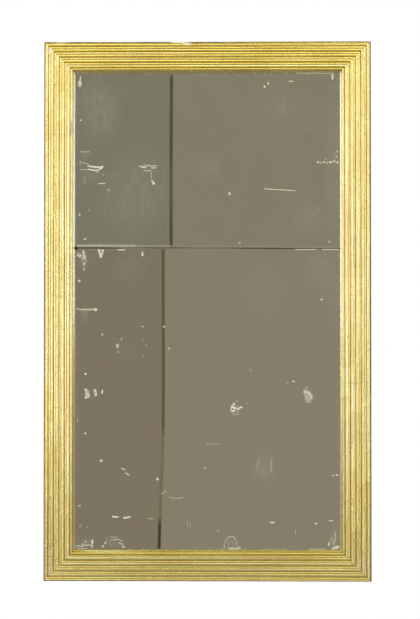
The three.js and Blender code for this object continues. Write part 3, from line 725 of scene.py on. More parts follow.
lowerMarks = {
    "spots": {
        "edgeBrightTop": (-383, 171, 6, 5, 0, 0.5), "patchFoot": (-366, 139, 9, 13, 0, 0.35),
        "patchToe": (-367, 124, 5, 9, 0, 0.4), "taperToe": (-317, 161, 6, 8, 0, 0.7),
        "chipB": (-193, 169, 5, 13, 0, 0.9), "dotC": (-381, 89, 7, 7, 0, 0.7),
        "knot": (-332, 4, 10, 9, 0, 0.65), "dotF": (-312, -70, 6, 7, 0, 0.4),
        "dotG": (-267, -104, 10, 14, 0, 0.42), "dotGLow": (-266, -122, 7, 6, 0, 0.35),
        "dotGTop": (-255, -84, 5, 8, 0, 0.35), "dotH": (-192, -47, 5, 5, 0, 0.6),
        "dotI": (-129, -47, 6, 7, 0, 0.5), "dotJ": (-114, -112, 7, 8, 0, 0.4),
        "dotK": (-362, -187, 7, 6, 0, 0.8), "dotKTwo": (-192, -86, 4, 5, 0, 0.3),
        "dotKThree": (-182, -102, 4, 5, 0, 0.3), "dotKFour": (-191, -135, 4, 5, 0, 0.3),
        "patchBTop": (-361, -235, 7, 9, 20, 0.9), "patchBMid": (-357, -246, 8, 7, -30, 0.75),
        "patchBLow": (-360, -257, 9, 8, 10, 0.9), "patchBSide": (-352, -252, 5, 12, 0, 0.7),
        "patchBTwo": (-334, -237, 6, 9, -8, 0.9), "patchBTwoLow": (-331, -249, 7, 8, 15, 0.7),
        "dotL": (-312, -240, 5, 13, -15, 0.75), "blueA": (287.5, -240, 4, 15, 3, 0.75),
        "blueB": (295, -241, 6, 7, 0, 1.0), "blueC": (303, -245, 6, 9, 10, 1.0),
        "blueD": (308.5, -255, 4, 12, -6, 0.8), "blueG": (301, -270, 20, 4, 0, 0.4),
        "dotM": (256, -209, 9, 4.5, 0, 0.85), "dotMLeft": (238, -213, 5, 4, 0, 0.5),
        "blotchTop": (78.5, -276.5, 9, 6.5, 10, 1.0), "blotchMiddle": (75, -285.5, 11, 9, 0, 0.9),
        "blotchFoot": (74.5, -297, 11, 6, 0, 1.0), "blotchBitA": (91, -301, 6, 5, 0, 0.4),
        "blotchBitB": (90, -307, 6, 5, 0, 0.3), "blotchBitC": (83, -307, 4, 8, 0, 0.35),
        "blotchBitD": (76, -306, 5, 6, 0, 0.3), "blotchBitE": (88, -268, 6, 5, 0, 0.3),
        "blotchBitF": (118, -274, 5, 6, 0, 0.25), "dotN": (-362, -364, 6, 7, 0, 0.6),
        "dotO": (-386, -326, 4, 10, 0, 0.4), "dotP": (-315, -445, 10, 7, 12, 0.6),
        "dotR": (-148, -499, 7, 8, 0, 0.9), "dotS": (-133, -541, 7, 5, 15, 0.4),
        "dotSTwo": (-125, -536, 6, 6, 0, 0.35), "dotT": (-7, -466, 9, 7, 0, 0.3),
        "dotV": (383, -487, 6, 6, 0, 0.9), "dotVLeft": (372, -488, 7, 5, 0, 0.5),
        "dotW": (-380, -578, 9, 5, 0, 0.5), "dotX": (-377, -638, 5, 8, 0, 0.4),
        "dotXTwo": (-356, -642, 5, 5, 0, 0.25), "dotZ": (321, -630, 9, 5, 0, 0.6),
        "dotAb": (32, -651, 7, 7, 0, 0.3), "dotAe": (339, 34, 10, 7, 0, 0.35),
        "dotAf": (128, -177, 8, 6, 0, 0.22), "cornerLow": (380, -701, 26, 9, 18, 0.9),
        "cornerLowTwo": (360, -690, 8, 12, 0, 0.5), "footLeftTall": (-341, -685, 5.5, 14, 0, 0.95),
        "footLeftDot": (-361, -684, 5, 7, 0, 0.4), "arcDot": (-303, -689, 6, 6, 0, 0.6),
        "arcDotTwo": (-309, -698, 6, 7, 0, 0.6), "arcEnd": (-249, -699, 8, 6, 0, 0.8),
        "archFoot": (78, -704, 36, 4.5, 0, 0.8), "archFootRight": (95, -702, 9, 8, 0, 0.5),
        "archSide": (50, -703, 6, 7, 0, 0.4)},
    "strokes": {
        "jointChips": (2.4, 0.95, 262, 182.6, 300, 182.2, 322, 182.4),
        "jointChipsRight": (2.2, 0.85, 342, 182.2, 388, 182.0),
        "jointLineLeft": (1.2, 0.3, -390, 184, -250, 183.6),
        "edgeBright": (4.6, 1.0, -386, 166.5, -381, 161.5, -376, 166.5),
        "patchEdge": (5.5, 0.6, -368.5, 178, -367.5, 166, -366, 156),
        "patchEdgeLeft": (3.0, 0.4, -374, 164, -372, 148),
        "patchEdgeRight": (3.4, 0.35, -362, 164, -361, 146),
        "taperLeft": (5.5, 0.65, -323, 181, -320, 172, -317, 161),
        "taperRight": (4.6, 0.6, -310, 180, -312, 172, -316, 162),
        "taperTop": (4.0, 0.5, -322, 180, -311, 180), "chipA": (3.2, 0.6, -265, 181, -246, 181.4),
        "chipRow": (2.6, 0.6, -393, 6, -370, 4.5, -352, 5, -336, 4),
        "chipRowLow": (1.8, 0.35, -380, 1, -360, 0, -345, 1),
        "blotchArm": (4.4, 1.0, 78, -285, 86, -289.5, 91.7, -292.5, 98, -286, 103, -286),
        "blotchLegLeft": (2.6, 0.7, 70.5, -288, 70, -296),
        "blotchLegRight": (3.2, 0.85, 80, -288, 80, -297), "dotQ": (3.5, 0.55, -254, -468, -244, -471),
        "dotQTwo": (3.8, 0.55, -242, -481, -233, -487),
        "rowFaint": (3.0, 0.35, -112, -553, -92, -556, -72, -554),
        "midFaint": (2.6, 0.25, -2, -394, 20, -396, 40, -395),
        "dashA": (4.6, 1.0, -281, -610, -266, -611.5),
        "dashB": (5.0, 1.0, -247, -614, -238, -613, -230, -611),
        "dashLow": (3.0, 0.3, -176, -616, -160, -616), "dotY": (3.6, 0.9, 187, -627, 198, -627),
        "dotAa": (3.6, 0.6, 361, -622, 371, -621), "dotAc": (2.6, 0.35, 261, -648, 261, -662),
        "strokeAd": (2.4, 0.3, -60, -622, -57, -640), "strokeAdTwo": (2.2, 0.25, -51, -628, -50, -642),
        "footLeftA": (2.8, 0.75, -388, -698, -378, -696.5, -369, -700),
        "footLeftB": (2.6, 0.7, -371, -693, -363, -696, -353, -693.5, -342, -697),
        "footLeftC": (3.0, 0.8, -342, -690, -341, -702), "footLeftD": (2.2, 0.5, -394, -704, -356, -704.5),
        "arcA": (2.0, 0.5, -286, -670.5, -267, -671.5),
        "arcB": (2.2, 0.55, -287, -680, -272, -678, -262, -678, -253, -682),
        "arcC": (2.6, 0.65, -262, -687, -252, -692), "arcD": (1.8, 0.35, -290, -687, -284, -697),
        "arcE": (1.8, 0.35, -298, -671, -299, -685),
        "archLeft": (2.0, 0.5, 50, -703, 51, -692, 55, -680, 62, -671),
        "archTop": (2.2, 0.6, 62, -671, 70, -667.5, 78, -670, 84, -678),
        "archRight": (1.8, 0.45, 84, -678, 88, -690, 88, -702),
        "archInner": (1.5, 0.3, 62, -700, 64, -688, 70, -682, 77, -688, 79, -699),
        "cornerRise": (2.4, 0.5, 372, -694, 378, -676, 379, -655),
        "rightFoot": (2.0, 0.5, 300, -705, 352, -705.5), "midFoot": (1.6, 0.35, 160, -705.5, 230, -705.2)},
    "speckles": {
        "footLeftCluster": (-356, -690, 90, 50, 0, 0.7), "footArcs": (-277, -685, 84, 52, 0, 0.7),
        "row": (-95, -553, 60, 16, -6, 0.4), "blotchHalo": (88, -290, 54, 56, 0, 0.45),
        "archSpeck": (75, -685, 80, 56, 0, 0.5), "archRightSpeck": (130, -690, 70, 34, 0, 0.25),
        "chipHaze": (-366, -8, 30, 42, 0, 0.6), "patchHalo": (-350, -246, 76, 66, 0, 0.45),
        "topLeft": (-350, 160, 96, 54, 0, 0.45), "midLeft": (-250, -110, 150, 130, 0, 0.22),
        "cornerRight": (368, -685, 54, 60, 0, 0.5), "topRight": (352, 140, 66, 90, 0, 0.25),
        "dashHalo": (-255, -612, 70, 18, 0, 0.4), "streakHalo": (168, -465, 70, 120, 0, 0.3)},
    "clouds": {
        "streakAll": (168, -466, 80, 120, 0, 0.5), "blueHalo": (301, -251, 44, 62, 10, 0.7),
        "patchEdgeCloud": (-371, 150, 34, 74, 0, 0.6), "chipCloud": (-366, -16, 26, 46, 0, 0.7),
        "cornerCloud": (380, -664, 30, 100, 10, 0.8), "rightEdge": (376, 60, 56, 280, 0, 0.4),
        "rightEdgeLow": (388, -330, 18, 400, 0, 0.4), "topLeftCloud": (-230, 130, 120, 120, 20, 0.28),
        "upperRight": (340, 120, 120, 150, 0, 0.38), "leftEdge": (-387, -300, 20, 600, 0, 0.4),
        "leftFoot": (-386, -680, 18, 60, 0, 0.6), "middleCloud": (170, 60, 170, 190, 0, 0.18),
        "arcCloud": (-272, -690, 70, 40, 0, 0.6), "archCloud": (75, -692, 50, 36, 0, 0.4)},
    "hazes": {
        "streakA": (148, -462, 22, 96, 0, 0.5), "streakB": (170, -472, 18, 76, 0, 0.32),
        "streakC": (190, -462, 16, 92, 0, 0.6), "streakFoot": (166, -492, 60, 34, 0, 0.42),
        "bluePatch": (300.5, -256, 34, 37, 0, 1.15), "blueShoulder": (297, -244, 25, 33, 10, 1.0),
        "blueTop": (294, -230, 14, 24, 6, 0.6), "patchBHaze": (-357, -247, 22, 40, 0, 1.1),
        "patchBTwoHaze": (-332, -243, 15, 28, 0, 1.0), "blotchHaze": (84, -289, 40, 44, 0, 0.35),
        "footHaze": (-360, -688, 80, 44, 0, 0.45), "arcHaze": (-275, -686, 70, 44, 0, 0.4),
        "archHaze": (75, -688, 60, 44, 0, 0.3), "cornerHaze": (374, -676, 40, 70, 0, 0.5),
        "edgeHaze": (-368, 152, 26, 60, 0, 0.5), "chipHaze": (-364, -12, 34, 40, 0, 0.35)},
    "darks": {
        "headLeft": (-320, 185.9, 240, 4.6, -0.19, 1.7), "headEnd": (-390, 184.8, 14, 8, 0, 1.6),
        "headMid": (-150, 185.0, 380, 3.4, -0.19, 1.4), "headRight": (140, 184.5, 720, 2.6, -0.19, 1.2),
        "cornerRightDark": (262, -706.5, 70, 4, 0, 0.7), "footDark": (-120, -706.5, 60, 3, 0, 0.5)},
}


def smoothStep(value):
    value = min(1.0, max(0.0, value))
    return value * value * (3 - 2 * value)


def spotDepth(x, z, cx, cz, wide, high, turn):
    # millimetres inside the rim of an oval, and its share of the way to the centre
    c, s = math.cos(math.radians(turn)), math.sin(math.radians(turn))
    dx, dz = x - cx, z - cz
    part = math.hypot((c * dx + s * dz) / (wide / 2), (c * dz - s * dx) / (high / 2))
    return (1 - part) * min(wide, high) / 2, 1 - part


def strokeDepth(x, z, width, points):
    best = 1e9
    for (ax, az), (bx, bz) in zip(points, points[1:]):
        lx, lz = bx - ax, bz - az
        t = min(1.0, max(0.0, ((x - ax) * lx + (z - az) * lz) / (lx * lx + lz * lz)))
        best = min(best, math.hypot(x - ax - lx * t, z - az - lz * t))
    return width / 2 - best


def skinPoints(outline, marks, s):
    # where the skin of the plate has its points: close together on a mark, wide apart elsewhere
    taken, points = set(), []
    left, right = min(x for x, z in outline) + 2, max(x for x, z in outline) - 2
    low, high = min(z for x, z in outline) + 3.4, max(z for x, z in outline) - 3.4

    def sow(x0, x1, z0, z1, gap):
        x0, x1, z0, z1 = max(x0, left), min(x1, right), max(z0, low), min(z1, high)
        if x1 <= x0 or z1 <= z0:
            return
        across, up = max(1, round((x1 - x0) / gap)), max(1, round((z1 - z0) / gap))
        for i in range(across + 1):
            for j in range(up + 1):
                x = x0 + (x1 - x0) * i / across
                z = z0 + (z1 - z0) * (j + 0.5 * (i % 2) * (j < up)) / up
                cell = (int(x / (0.62 * min(gap, 3))), int(z / (0.62 * min(gap, 3))), gap < 3)
                if cell not in taken:
                    taken.add(cell)
                    points.append((x, z))

    for cx, cz, wide, tall in (entry[:4] for entry in marks["spots"].values()):
        reach, gap = max(wide, tall) / 2 + 1.5, max(0.9, min(wide, tall) / 6)
        sow(cx - reach, cx + reach, cz - reach, cz + reach, gap)
    for width, strength, *flat in marks["strokes"].values():
        line, gap = list(zip(flat[::2], flat[1::2])), max(0.75, width / 3)
        for (ax, az), (bx, bz) in zip(line, line[1:]):
            steps = max(1, round(math.hypot(bx - ax, bz - az) / 4))
            for i in range(steps):
                px, pz = ax + (bx - ax) * i / steps, az + (bz - az) * i / steps
                qx, qz = ax + (bx - ax) * (i + 1) / steps, az + (bz - az) * (i + 1) / steps
                edge = width / 2 + 1.2
                sow(min(px, qx) - edge, max(px, qx) + edge, min(pz, qz) - edge, max(pz, qz) + edge, gap)
    for table, past, finest in (("hazes", 4, 3.5), ("darks", 1, 0.9)):
        for cx, cz, wide, tall in (entry[:4] for entry in marks[table].values()):
            gap = finest if table == "hazes" else max(finest, min(wide, tall) / 3)
            sow(cx - wide / 2 - past, cx + wide / 2 + past, cz - tall / 2 - past, cz + tall / 2 + past, gap)
    sow(left, right, low, high, s["coarseSkin"])
    return points


def markLayers(points, marks):
    layers = {name: [0.0] * len(points) for name in ("flake", "tone", "speckle", "cloud", "haze", "dark")}

    def near(x0, x1, z0, z1):
        return (i for i, (x, z) in enumerate(points) if x0 <= x <= x1 and z0 <= z <= z1)

    for cx, cz, wide, high, turn, strength in marks["spots"].values():
        reach = max(wide, high) / 2 + 4
        for i in near(cx - reach, cx + reach, cz - reach, cz + reach):
            inside, part = spotDepth(*points[i], cx, cz, wide, high, turn)
            value = min(1.0, max(0.0, 0.5 + inside / max(2.4, 0.5 * min(wide, high))))
            if value > layers["flake"][i]:
                layers["flake"][i], layers["tone"][i] = value, strength
    for width, strength, *flat in marks["strokes"].values():
        line = list(zip(flat[::2], flat[1::2]))
        xs, zs, reach = flat[::2], flat[1::2], width / 2 + 3
        for i in near(min(xs) - reach, max(xs) + reach, min(zs) - reach, max(zs) + reach):
            inside = strokeDepth(*points[i], width, line)
            value = min(1.0, max(0.0, 0.5 + inside / max(1.6, width * 0.8)))
            if value > layers["flake"][i]:
                layers["flake"][i], layers["tone"][i] = value, strength
    for name, table in (("speckle", "speckles"), ("cloud", "clouds"), ("haze", "hazes"), ("dark", "darks")):
        for cx, cz, wide, high, turn, strength in marks[table].values():
            reach = max(wide, high) * 0.6
            for i in near(cx - reach, cx + reach, cz - reach, cz + reach):
                inside, part = spotDepth(*points[i], cx, cz, wide, high, turn)
                value = strength * smoothStep((part + 0.15) / (0.75 if name == "dark" else 0.95))
                layers[name][i] = max(layers[name][i], value)
    return layers


def silveredMaterial(name, s, slope, bend):
    material, shader, at = newMaterial(name)
    flat = flatOn(at)
    x, z = split(flat)[:2]
    coarse = minus(grit(flat, 300, 5, 0.7), 0.5)
    torn = timesPlus(coarse, 1.15, carried("flake"))
    flake = times(remap(torn, 0.38, 0.62), carried("tone"))
    fine = remap(grit(flat, 520, 4, 0.7), 0.58, 0.68)
    speckle = times(carried("speckle"), fine)
    veined = remap(comb(flat, (90, 24, 1), 4), 0.3, 0.72, 0.25, 1.0)
    cloud = times(carried("cloud"), veined)
    # silvering frets away along the rebate's edge, and tiny losses lie everywhere
    inX = minus(s["halfWide"], absolute(x))
    inZ = minus(s["halfTall"], absolute(z))
    edge = least(inX, inZ)
    fretting = remap(grit(flat, 120, 4, 0.65), 0.54, 0.66)
    fret = times(remap(edge, 0.012, 0.001), fretting)
    dots = addNode("ShaderNodeTexVoronoi", {"Vector": flat, "Scale": 42.0}).outputs["Distance"]
    rare = remap(grit(flat, 13, 2), 0.58, 0.66)
    pinhole = times(remap(dots, 0.075, 0.045), rare)
    small = most(times(fret, 0.35), times(pinhole, 0.3))
    flake = most(most(flake, times(speckle, 0.75)), small)
    dark = times(carried("dark"), remap(coarse, -0.22, 0.0, 0.55, 1.0))
    bloom = remap(grit(flat, 3.4, 4, 0.6), 0.35, 0.72)
    patchy = comb(flat, (16, 9, 1), 4, 0.6)
    colour = tint(times(bloom, 0.35), s["silver"], s["bloom"])
    colour = tint(remap(patchy, 0.5, 0.68, 0.0, 0.4), colour, s["warmPatch"])
    colour = tint(remap(patchy, 0.46, 0.32, 0.0, 0.4), colour, s["coolPatch"])
    colour = tint(times(cloud, 0.5), colour, s["cloud"])
    # milky places, combed upright and ragged
    combed = comb(flat, (150, 38, 1), 5, 0.68)
    milk = timesPlus(minus(combed, 0.5), 1.7, carried("haze"))
    milk = times(remap(milk, 0.30, 0.95), remap(carried("haze"), 0.02, 0.25))
    colour = tint(milk, colour, s["haze"])
    colour = tint(flake, colour, tint(remap(coarse, -0.16, 0.08), s["flakeDull"], s["flake"]))
    colour = tint(dark, colour, s["lost"])
    gone = most(most(flake, dark), times(cloud, 0.25))
    gone = most(gone, times(milk, 0.75))
    metal = minus(1.0, gone, clamp=True)
    rough = timesPlus(cloud, 0.05, timesPlus(bloom, 0.008, s["roughness"]))
    rough = timesPlus(flake, 0.5, rough, clamp=True)
    # blown glass is never quite flat, and the lower plate leans a little from the upper
    lean = timesPlus(remap(z, -0.34, -0.74), bend, slope)
    tilt = times(minus(x, s["gapLine"]), times(lean, -1.0))
    ripple = times(comb(flat, (4, 2.4, 1), 1), s["ripple"])
    wire(shader, colour=colour, metal=metal, rough=rough, normal=relief(plus(tilt, ripple), 1.0),
         coat=timesPlus(dark, -0.35, 0.35, clamp=True))
    shader.inputs["Coat Roughness"].default_value = s["coatRoughness"]
    return material


def groundEdgeMaterial(s):
    material, shader, at = newMaterial("groundEdge")
    scuff = comb(at, (60, 900, 900), 4, 0.65)
    colour = tint(remap(scuff, 0.3, 0.7), s["edge"], s["edgeScuffed"])
    dirt = place(grime, Place=at, Size=40.0, Amount=0.6)
    colour = tint(times(dirt["Mask"], 0.7), colour, s["edgeDirt"])
    wire(shader, colour=colour, rough=remap(scuff, 0.2, 0.8, 0.35, 0.75),
         normal=relief(scuff, s["edgeDepth"], 0.8))
    return material


def plateOutline(node, jointAtFoot, s):
    # the plate's own corners, with its cut edge at the joint nibbled a little
    corners = [v.co * 1000 for v in nodes[node].data.vertices]
    level = lambda side, pick: pick(v.z for v in corners if v.x * side > 0.4)
    wide = max(v.x for v in corners)
    low, high = (level(-1, min), level(1, min)), (level(-1, max), level(1, max))
    left, right = low if jointAtFoot else high
    inward, steps, joint = 1 if jointAtFoot else -1, s["jointSteps"], []
    for i in range(steps + 1):
        x = wide * (2 * i / steps - 1)
        bite = abs(noise.noise(Vector((x * 0.055, 3.3 * inward, 0))))
        bite += 1.6 * max(0, noise.noise(Vector((x * 0.009, 7.1, inward))) - 0.25)
        joint.append((x, left + (right - left) * i / steps + inward * 1000 * s["jointWobble"] * bite))
    count = s["sideSteps"]
    side = lambda x, z0, z1: [(x, z0 + (z1 - z0) * i / count) for i in range(1, count)]
    if jointAtFoot:
        return (joint + side(wide, joint[-1][1], high[1]) + [(wide, high[1]), (-wide, high[0])]
                + side(-wide, high[0], joint[0][1]))
    return ([(-wide, low[0]), (wide, low[1])] + side(wide, low[1], joint[-1][1]) + joint[::-1]
            + side(-wide, joint[0][1], low[0]))


def buildPlate(name, node, marks, jointAtFoot, slope, bend, s):
    outline = plateOutline(node, jointAtFoot, s)
    wide, middle = outline[0][0], (max(z for x, z in outline) + min(z for x, z in outline)) / 2
    tall, arris = max(z for x, z in outline) - middle, s["arris"] * 1000
    inset = [(x * (1 - arris / abs(wide)), middle + (z - middle) * (1 - arris / tall)) for x, z in outline]
    count, skin = len(inset), skinPoints(inset, marks, s)
    flatPoints = [Vector(p) for p in inset + skin]
    edges = [(i, (i + 1) % count) for i in range(count)]
    spots, faces = geometry.delaunay_2d_cdt(flatPoints, edges, [], 1, 1e-4, False)[:3:2]
    work = bmesh.new()
    front = [work.verts.new((p.x / 1000, s["front"], p.y / 1000)) for p in spots]
    for face in faces:
        work.faces.new([front[i] for i in face])
    rim = [e for e in work.edges if e.is_boundary]
    for depth, grow in ((s["front"] + s["arris"] * 0.8, 1.0), (s["back"], 0.0)):
        made = bmesh.ops.extrude_edge_only(work, edges=rim)["geom"]
        for v in (g for g in made if isinstance(g, bmesh.types.BMVert)):
            if grow:
                v.co.x /= 1 - arris / abs(wide)
                v.co.z = (middle + (v.co.z * 1000 - middle) / (1 - arris / tall)) / 1000
            v.co.y = depth
        rim = [e for e in work.edges if e.is_boundary]
    bmesh.ops.holes_fill(work, edges=rim)
    work.normal_update()
    bmesh.ops.recalc_face_normals(work, faces=work.faces)
    for face in work.faces:
        face.material_index = 0 if abs(face.normal.y) > 0.9 else 1
    mesh = meshFrom(work, name)
    for label, values in markLayers([tuple(p) for p in spots], marks).items():
        layer = mesh.attributes.new(label, "FLOAT", "POINT")
        layer.data.foreach_set("value", values + [0.0] * (len(mesh.vertices) - len(values)))
    plate = linked(name, mesh, silveredMaterial(name, s, slope, bend))
    plate.data.materials.append(bpy.data.materials.get("groundEdge") or groundEdgeMaterial(s))
    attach(plate, "frame")
    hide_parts(node)
    print(name, len(mesh.polygons), "faces")


buildPlate("plate_upper", "mirror_plate_upper", upperMarks, True, plates["upperSlope"], 0.0, plates)
buildPlate("plate_lower", "mirror_plate_lower", lowerMarks, False, plates["lowerSlope"],
           plates["lowerBend"], plates)
print("plates silvered")


# softwood: carcase, batten, glue blocks and backboards as planed copies with eased arrises
softwood = {
    "carcaseEase": 0.0008, "boardEase": 0.0005, "blockEase": 0.0007, "longEnough": 0.008,
    "early": (0.44, 0.28, 0.13), "late": (0.24, 0.125, 0.045), "boardEarly": (0.36, 0.235, 0.12),
    "boardLate": (0.115, 0.060, 0.027), "wash": (0.055, 0.032, 0.014), "boardPitch": 0.16856,
    "nailRow": 0.728, "nailOffset": 0.05968, "battenHeight": 0.1865, "plank": (0.20, 0.13, 0.075),
    "knotHalo": (0.17, 0.075, 0.03), "knot": (0.055, 0.025, 0.012), "rustStain": (0.045, 0.020, 0.012),
    "handled": (0.10, 0.06, 0.03), "flyspeck": (0.03, 0.018, 0.01), "wornPale": (0.40, 0.27, 0.14),
    "dust": (0.36, 0.33, 0.28), "woodTooth": 0.00028, "oakEarly": (0.30, 0.20, 0.105),
    "oakLate": (0.15, 0.085, 0.04),
}


def woodMaterial(name, s, early, late, grainAxis, seed, washed=False, boards=False):
    material, shader, at = newMaterial(name)
    turn = {"x": (0, 0, 0), "z": (0, math.radians(90), 0)}[grainAxis]
    line = stretch(at, (1, 1, 1), turn=turn)      # X runs along the grain
    x, y, z = split(line)
    line = combine(x, z, y)
    x, y, z = split(at)
    pick = seed
    if boards:
        # each backboard is its own plank
        board = floor(over(plus(x, 2.5 * s["boardPitch"]), s["boardPitch"]))
        pick = timesPlus(board, 1.7, seed)
        middle = times(minus(board, 2.0), s["boardPitch"])
        shift = combine(y=middle)
        line = addNode("ShaderNodeVectorMath", {0: line, 1: shift}, operation="ADD").outputs[0]
    grain = place(woodGrain, Place=line, Seed=pick, RingGap=0.0062 if boards else 0.005, Early=(*early, 1),
                  Late=(*late, 1))
    colour = grain["Colour"]
    if boards:
        tone = addNode("ShaderNodeTexWhiteNoise", {"W": board}, noise_dimensions="1D").outputs["Value"]
        colour = tint(times(tone, 0.35), colour, s["plank"])
        # knots, few and dark
        cell = addNode("ShaderNodeTexVoronoi", {"Vector": stretch(line, (2.1, 6.5, 1)), "Scale": 1.0}).outputs
        chosen = remap(split(cell["Color"])[0], 0.72, 0.75)
        knot = times(remap(cell["Distance"], 0.085, 0.05), chosen)
        halo = times(remap(cell["Distance"], 0.22, 0.05), chosen)
        colour = tint(times(halo, 0.45), colour, s["knotHalo"])
        colour = tint(times(knot, 0.85), colour, s["knot"])
        # rust has run into the wood round each nail
        off = minus(x, middle)
        besideX = minus(absolute(off), s["nailOffset"])
        endZ = minus(absolute(z), s["nailRow"])
        midZ = minus(z, s["battenHeight"])
        besideZ = least(absolute(endZ), absolute(midZ))
        besideZ = times(besideZ, 0.55)
        near = root(plus(times(besideX, besideX), times(besideZ, besideZ)))
        near = timesPlus(grit(at, 70, 3), -0.006, near)
        stain = remap(near, 0.010, -0.001)
        colour = tint(times(stain, 0.8), colour, s["rustStain"])
    # saw marks across the grain, then age: brown handling, dirt and dust
    saw = sine(times(timesPlus(grit(line, 5, 2), 0.02, split(line)[0]), 1150.0))
    sawn = times(saw, remap(grit(line, 4, 2), 0.45, 0.65))
    dirt = place(grime, Place=stretch(line, (0.22, 1, 1)), Size=17.0, Amount=0.62)
    colour = tint(times(dirt["Mask"], 0.42), colour, s["handled"])
    colour = tint(times(dirt["Speck"], 0.7), colour, s["flyspeck"])
    worn = place(arrisWear, Place=at, Amount=0.7)["Mask"]
    colour = tint(times(worn, 0.5), colour, s["wornPale"])
    if washed:
        # a thin dark wash on the front and the outer edges, rubbed through along the arrises
        outX = remap(absolute(x), 0.4845, 0.4855)
        outZ = remap(absolute(z), 0.7985, 0.7995)
        front = remap(y, -0.0225, -0.0235)
        wash = most(most(outX, outZ), front)
        drag = remap(comb(line, (14, 160, 160), 4), 0.25, 0.5, 0.72, 1.0)
        wash = times(times(wash, drag), timesPlus(worn, -0.55, 1.0))
        colour = tint(wash, colour, s["wash"])
    colour = tint(times(dirt["Dust"], 0.45), colour, s["dust"])
    height = timesPlus(sawn, 0.12, grain["Height"])
    wire(shader, colour=colour, rough=remap(grain["Streak"], 0.0, 1.0, 0.82, 0.66),
         normal=relief(height, s["woodTooth"], 0.8))
    return material


def easedCopy(node, name, material, ease, longEnough):
    # a merged copy of the CAD solid whose long sharp edges are planed off
    work = bmesh.new()
    work.from_mesh(nodes[node].data)
    bmesh.ops.remove_doubles(work, verts=work.verts, dist=1e-6)
    bmesh.ops.dissolve_limit(work, angle_limit=math.radians(1), verts=work.verts, edges=work.edges)
    sharp = [e for e in work.edges if e.is_manifold and e.calc_face_angle(0) > math.radians(25)
             and e.calc_length() > longEnough]
    made = bmesh.ops.bevel(work, geom=sharp, offset=ease, offset_type="OFFSET", segments=2, profile=0.6,
                           affect="EDGES", clamp_overlap=True)
    arris = work.faces.layers.float.new("arris")
    for face in work.faces:
        face[arris] = 0.0
    for face in made["faces"]:
        if face.is_valid:
            face[arris] = 1.0
    piece = linked(name, smoothed(meshFrom(work, name), 30), material)
    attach(piece, "frame")
    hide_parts(node)


def buildWoodwork(s):
    upright = woodMaterial("pineUpright", s, s["early"], s["late"], "z", 2.0, washed=True)
    level = woodMaterial("pineLevel", s, s["early"], s["late"], "x", 5.0, washed=True)
    plainLevel = woodMaterial("pineBatten", s, s["early"], s["late"], "x", 8.0)
    plainUpright = woodMaterial("pineBlock", s, s["early"], s["late"], "z", 11.0)
    boards = woodMaterial("backPine", s, s["boardEarly"], s["boardLate"], "z", 3.0, boards=True)
    for side in ("left", "right"):
        easedCopy("stile_" + side, "carcase_stile_" + side, upright, s["carcaseEase"],
                  s["longEnough"])
    for end in ("top", "bottom"):
        easedCopy("rail_" + end, "carcase_rail_" + end, level, s["carcaseEase"], s["longEnough"])
    easedCopy("joint_batten", "cross_batten", plainLevel, s["carcaseEase"], s["longEnough"])
    for node in sorted(n for n in nodes if n.startswith("glue_block")):
        finish = plainLevel if ("top" in node or "bottom" in node) else plainUpright
        easedCopy(node, node.replace("glue_block", "wedge"), finish, s["blockEase"], 0.001)
    for node in sorted(n for n in nodes if n.startswith("backboard")):
        easedCopy(node, node.replace("backboard", "plank"), boards, s["boardEase"],
                  s["longEnough"])


buildWoodwork(softwood)
print("woodwork planed")


# nails, pegs and screws: one tree sets a template at each place, with a random turn, lean and size
fixings = {
    "nailHead": 0.0034, "nailRise": 0.0011, "nailShank": 0.0013, "nailLength": 0.018, "nailFace": -0.0011,
    "pegRadius": 0.0044, "pegLength": 0.0235, "pegFace": 0.0, "screwHead": 0.0042, "screwRise": 0.0018,
    "screwSlot": 0.00045, "screwFace": 0.0021, "battenHeight": 0.1885, "battenWander": 0.004,
    "battenNailFace": 0.0001,
    # lean, spread of sizes and seed
    "nails": (0.05, 0.08, 11), "battenNails": (0.05, 0.1, 23), "pegs": (0.0, 0.02, 5),
    "screws": (0.0, 0.02, 31),
}


def buildSetFixings():
    tree, given, out = newGeometryTree("setFixings", [
        ("Places", "Object"), ("Template", "Object"), ("Turn", "Float"), ("Lean", "Float"), ("Vary", "Float"),
        ("Seed", "Int"), ("Finish", "Material")])

    def draw(low, high, later):
        seed = given["Seed"]
        if later:
            seed = addNode("FunctionNodeIntegerMath", {0: seed, 1: later}).outputs[0]
        return addNode("FunctionNodeRandomValue", {2: low, 3: high, 8: seed}, data_type="FLOAT").outputs[1]

    spots = addNode("GeometryNodeObjectInfo", {"Object": given["Places"]}).outputs["Geometry"]
    points = addNode("GeometryNodeMeshToPoints", {"Mesh": spots}).outputs[0]
    template = {"Object": given["Template"], "As Instance": True}
    shape = addNode("GeometryNodeObjectInfo", template).outputs["Geometry"]
    anyTurn = draw(times(given["Turn"], -1.0), given["Turn"], 0)
    lean = draw(times(given["Lean"], -1.0), given["Lean"], 17)
    size = draw(minus(1.0, given["Vary"]), 1.0, 41)
    turned = combine(minus(lean, math.pi / 2), anyTurn, lean)
    rotation = addNode("FunctionNodeEulerToRotation", {0: turned}).outputs[0]
    put = addNode("GeometryNodeInstanceOnPoints", {"Points": points, "Instance": shape, "Rotation": rotation,
                  "Scale": size}).outputs[0]
    finishGeometry(put, given["Finish"], out)
    return tree


